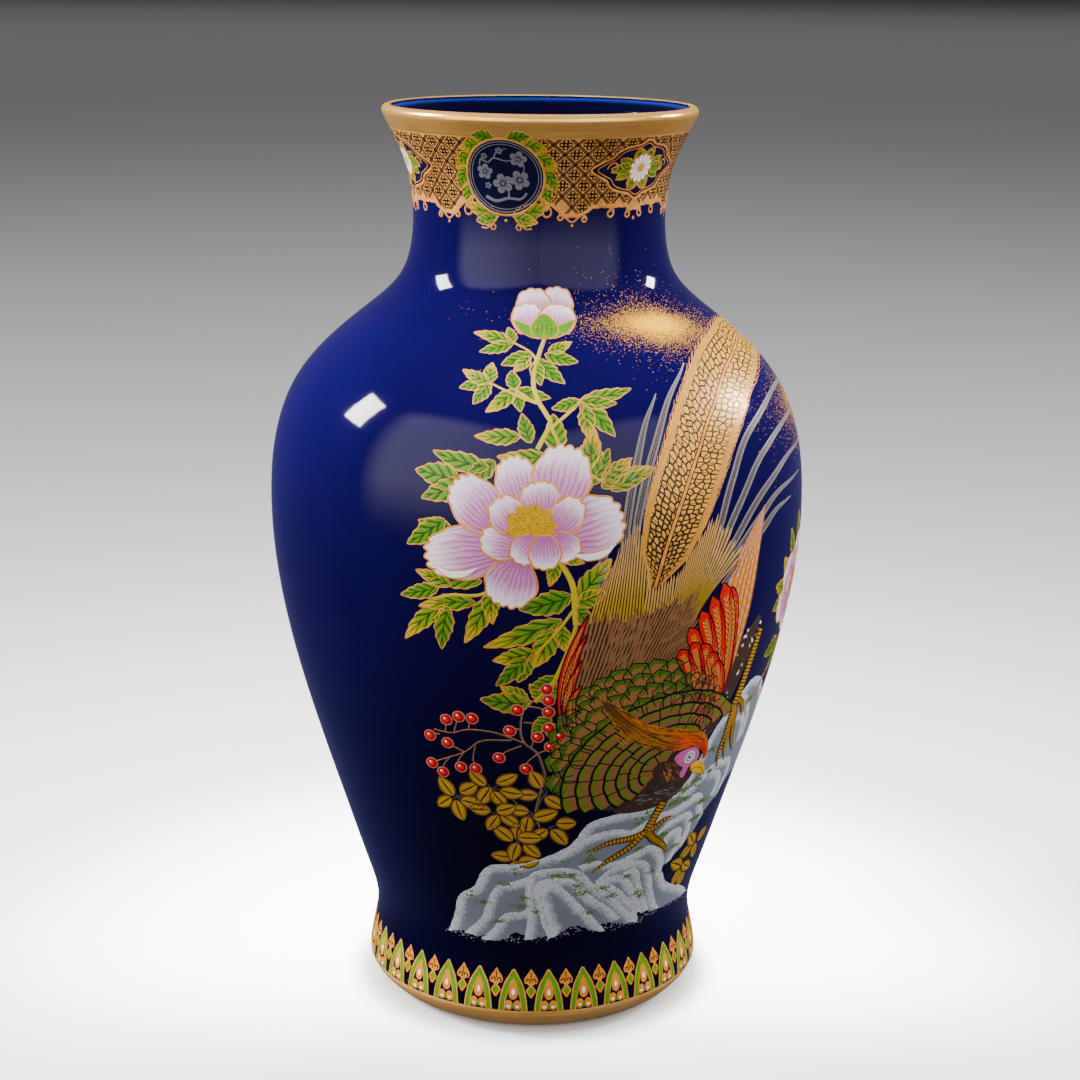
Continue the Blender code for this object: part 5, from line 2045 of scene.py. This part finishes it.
def head():
    """The breast, the crest with its hair, the face, the eye and the beak."""
    sheet = Sheet("head", BIRD_CHART)
    breast = smooth(
        (
            (-22, -8.8), (-16, -6.4), (-10, -3.6), (-7, 0.5), (-4.6, 6), (-1, 10), (3, 10), (6, 5),
            (7.5, -1), (3, -6), (-1, -9.5), (-10, -11), (-19, -10.6),
        ),
        50, closed=True,
    )
    fill(sheet, breast, "umber", 0.215, step=1.5)
    for n in range(26):
        x, y = draws.uniform(-16, 2), draws.uniform(-8.5, -3.5)
        ribbon(
            sheet, [(x, y), (x + 0.8, y - 0.15), (x + 1.6, y - 0.2), (x + 2.2, y - 0.1)], 0.42,
            "silver_grey", 0.225, height=0.02, step=0.6, taper=(0.4, 1, 0.3),
        )
    for n in range(22):
        x, y = draws.uniform(-7, 0), draws.uniform(0, 8)
        ribbon(
            sheet, [(x, y), (x + 0.8, y - 0.9), (x + 1.6, y - 1.9)], 0.4, "bark", 0.225, height=0.02,
            step=0.6, taper=(0.4, 1, 0.3),
        )
    for n in range(70):
        x, y = draws.uniform(-17, 3), draws.uniform(-9, 8)
        if inside(breast, np.array([x]), np.array([y]))[0]:
            ribbon(
                sheet, [(x, y), (x - 0.5, y + 0.9), (x - 1.2, y + 1.7), (x - 2.0, y + 2.3)], 0.34,
                "twig", 0.221, height=0.01, step=0.7, taper=(0.4, 1, 0.2),
            )
    path = (
        (-36, 36.5), (-28, 28.8), (-20, 22), (-12, 18.3), (-4, 15.8), (3, 14.8), (8.5, 12.2), (11.6, 8),
        (12, 4.6),
    )
    half = (0.2, 1.6, 2.8, 3.3, 3.7, 4.1, 4.2, 3.8, 3.1, 1.8, 0.5)
    draw_feather(sheet, path, half, "crest", 0.23, "bark", 0.3, columns=11, rows=46)
    centre = even(smooth(path, 80), 0.6)
    side = sideways(centre)
    reach = np.interp(np.linspace(0, 1, len(centre)), np.linspace(0, 1, len(half)), half)
    for n in range(150):
        start = int(len(centre) * draws.uniform(0.02, 0.84))
        run = slice(start, start + draws.integers(6, 11))
        hair = centre[run] + side[run] * (reach[run] * draws.uniform(-0.95, 0.95))[:, None]
        colour = "umber" if start < 0.62 * len(centre) or n % 3 == 0 else "bark"
        ribbon(sheet, hair, 0.3, colour, 0.262, height=0.01, step=0.9, taper=(0.3, 1, 0.2))
    for n in range(9):
        start = np.array((-18 - 0.8 * n, 21.5 - 0.9 * n + 3))
        tip = np.array((-37 + 0.9 * n, 36.5 - 1.9 * n))
        ribbon(
            sheet, smooth([start, (start + tip) / 2 + (0.6, 0.2), tip], 12), 0.42, "bark", 0.232,
            height=0.03, step=1.2, taper=(1, 0.8, 0.2),
        )
    face = smooth(
        (
            (-3, 8), (-1.5, 10.4), (2.5, 11.2), (6.5, 10.6), (8.8, 7.6), (8.4, 4.8), (5.4, 3.6),
            (4.4, 1.4), (3.8, -0.8), (2.0, -0.6), (1.2, 1.4), (2.0, 3.6), (0, 4.8),
        ),
        44, closed=True,
    )
    fill(sheet, face, "face_pink", 0.245, step=1.0, crown=0.02)
    ribbon(sheet, face, 0.32, "umber", 0.25, closed=True, height=0.02)
    disc(sheet, 4.2, 7.3, 3.1, "ink", 0.26, rings=2, sides=24)
    disc(sheet, 4.2, 7.3, 2.35, "petal_white", 0.27, rings=2, sides=24)
    ring(sheet, 4.2, 7.3, 1.55, 0.42, "umber", 0.275, height=0.01, step=0.5)
    disc(sheet, 4.2, 7.3, 0.75, "ink", 0.28, rings=1, sides=14)
    disc(sheet, 4.4, 7.55, 0.25, "petal_white", 0.29, rings=1, sides=8)
    fill(
        sheet,
        smooth(
            (
                (5.8, 3.6), (8.2, 4.6), (11, 3.6), (13.4, 1.2), (14.8, -3.2), (12, -1.6), (8.8, -0.4),
                (6.4, 1.4),
            ),
            34, closed=True,
        ),
        "beak", 0.25, step=0.9, crown=0.03,
    )
    ribbon(
        sheet, smooth(((6.4, 1.9), (9.6, 1.7), (12.4, 0.2), (14.4, -2.8)), 16), 0.35, "ink", 0.27,
        height=0.02, step=0.6,
    )
    disc(sheet, 9.8, 3.0, 0.45, "ink", 0.275, squash=0.5, rings=1, sides=8)
    sheet.build()


def legs():
    """Shanks and toes of both legs."""
    sheet = Sheet("legs", BIRD_CHART)
    front = ((-2.5, -9), (-4.4, -14), (-6.5, -20.5))
    hind = ((30, 50), (26.8, 38), (24, 27), (22.4, 22.5))
    parts = (
        (hind, 4.0, (0.8, 1, 1, 1)),
        (((22.4, 23), (22, 12), (20.6, 4), (22, -2)), 2.4, (1, 0.9, 0.7, 0.2)),
        (((23, 23), (23.6, 12), (24, 5), (26.4, -0.6)), 2.6, (1, 0.9, 0.7, 0.2)),
        (((23.6, 22), (26.4, 12), (28.4, 6), (31.6, 1.6)), 2.6, (1, 0.9, 0.7, 0.2)),
        (((24, 24.5), (27.4, 22.5), (29.6, 19.5), (31, 15.8)), 2.4, (1, 0.9, 0.6, 0.2)),
        (front, 3.6, (1, 0.9, 0.95)),
        (((-6, -20.5), (-12, -22), (-20, -22.6), (-26.6, -25)), 2.4, (1, 0.95, 0.8, 0.2)),
        (((-7, -20.5), (-12, -26), (-19, -30.4), (-23.6, -34.4)), 2.6, (1, 0.95, 0.8, 0.2)),
        (((-6, -21), (-2.6, -24.6), (2.6, -28.6), (6, -32.8)), 2.8, (1, 0.95, 0.8, 0.2)),
        (((-6.5, -20), (-3, -19.6), (0.4, -17.2), (3.4, -16.6)), 2.4, (1, 0.95, 0.7, 0.2)),
    )
    for n, (path, width, taper) in enumerate(parts):
        path = smooth(path, 30)
        ribbon(sheet, path, width + 0.5, "ink", 0.215 + 0.003 * n, height=0.01, step=0.9, taper=taper)
        ribbon(sheet, path, width, "leg", 0.228 + 0.003 * n, height=0.05, step=0.9, taper=taper)
    sheet.build()


def side_spray():
    """The second blossom and its branch, towards the right-hand side."""
    sheet = Sheet("side_spray", SIDE_CHART)
    for path, width in (
        (((-12, -34), (-2, -22), (8, -12), (16, 2)), 2.2), (((8, -12), (20, -16), (30, -22)), 1.4),
        (((-12, -34), (-24, -40)), 1.6),
    ):
        ribbon(sheet, smooth(path, 24), width, "bark", 0.03, step=1.0, taper=(1, 0.8, 0.5))
    leaves = (
        ((-6, 6), (-14, 15), 6), ((-8, 2), (-19, 6), 6), ((-8, 0), (-18, -3), 5.6),
        ((-4, -16), (-15, -20), 6.4), ((0, -18), (-6, -28), 6), ((14, 4), (26, 10), 6.4),
        ((16, 0), (29, -3), 6.4), ((12, 14), (18, 25), 6.2), ((4, 16), (2, 28), 6),
        ((20, -16), (30, -10), 5.6), ((24, -18), (34, -28), 6), ((14, -14), (18, -26), 6),
        ((10, 10), (24, 18), 5.6), ((-2, 12), (-9, 24), 5.4),
    )
    for n, (base, tip, width) in enumerate(leaves):
        draw_leaf(sheet, base, tip, width, 0.04 + 0.01 * (n % 5))
    for base, tip, width, lift in (
        ((4, -2), (2, -15), 16, 0.07), ((0, 0), (-13, -5), 15, 0.075), ((0, 4), (-11, 11), 14, 0.08),
        ((6, 6), (6, 20), 16, 0.085), ((9, 3), (21, 8), 15, 0.09), ((8, 0), (17, -8), 14, 0.095),
        ((1, 2), (-6, 4), 8, 0.105), ((5, 5), (3, 12), 8, 0.11), ((7, 4), (13, 8), 8, 0.115),
        ((5, 0), (4, -7), 9, 0.12),
    ):
        draw_petal(sheet, base, tip, width, lift, 0.045)
    turn = np.linspace(0, 2 * math.pi, 40, endpoint=False)
    heart = np.stack(
        [
            4.5 + 4.6 * np.cos(turn) * (1 + 0.1 * np.cos(9 * turn)),
            2.5 + 4.2 * np.sin(turn) * (1 + 0.1 * np.cos(9 * turn)),
        ],
        1,
    )
    fill(sheet, heart, "stamens", 0.14, crown=0.03)
    ribbon(sheet, heart, 0.5, "gold_line", 0.145, closed=True, height=0.05)
    sheet.build()


glazed_body()
gilt_bands()
collar()
lappets()
gold_dust()
sprays()
bloom()
bud()
berries()
golden_leaves()
rocks()
tail_feathers()
back_feathers()
wing()
cape()
head()
legs()
side_spray()
studio()
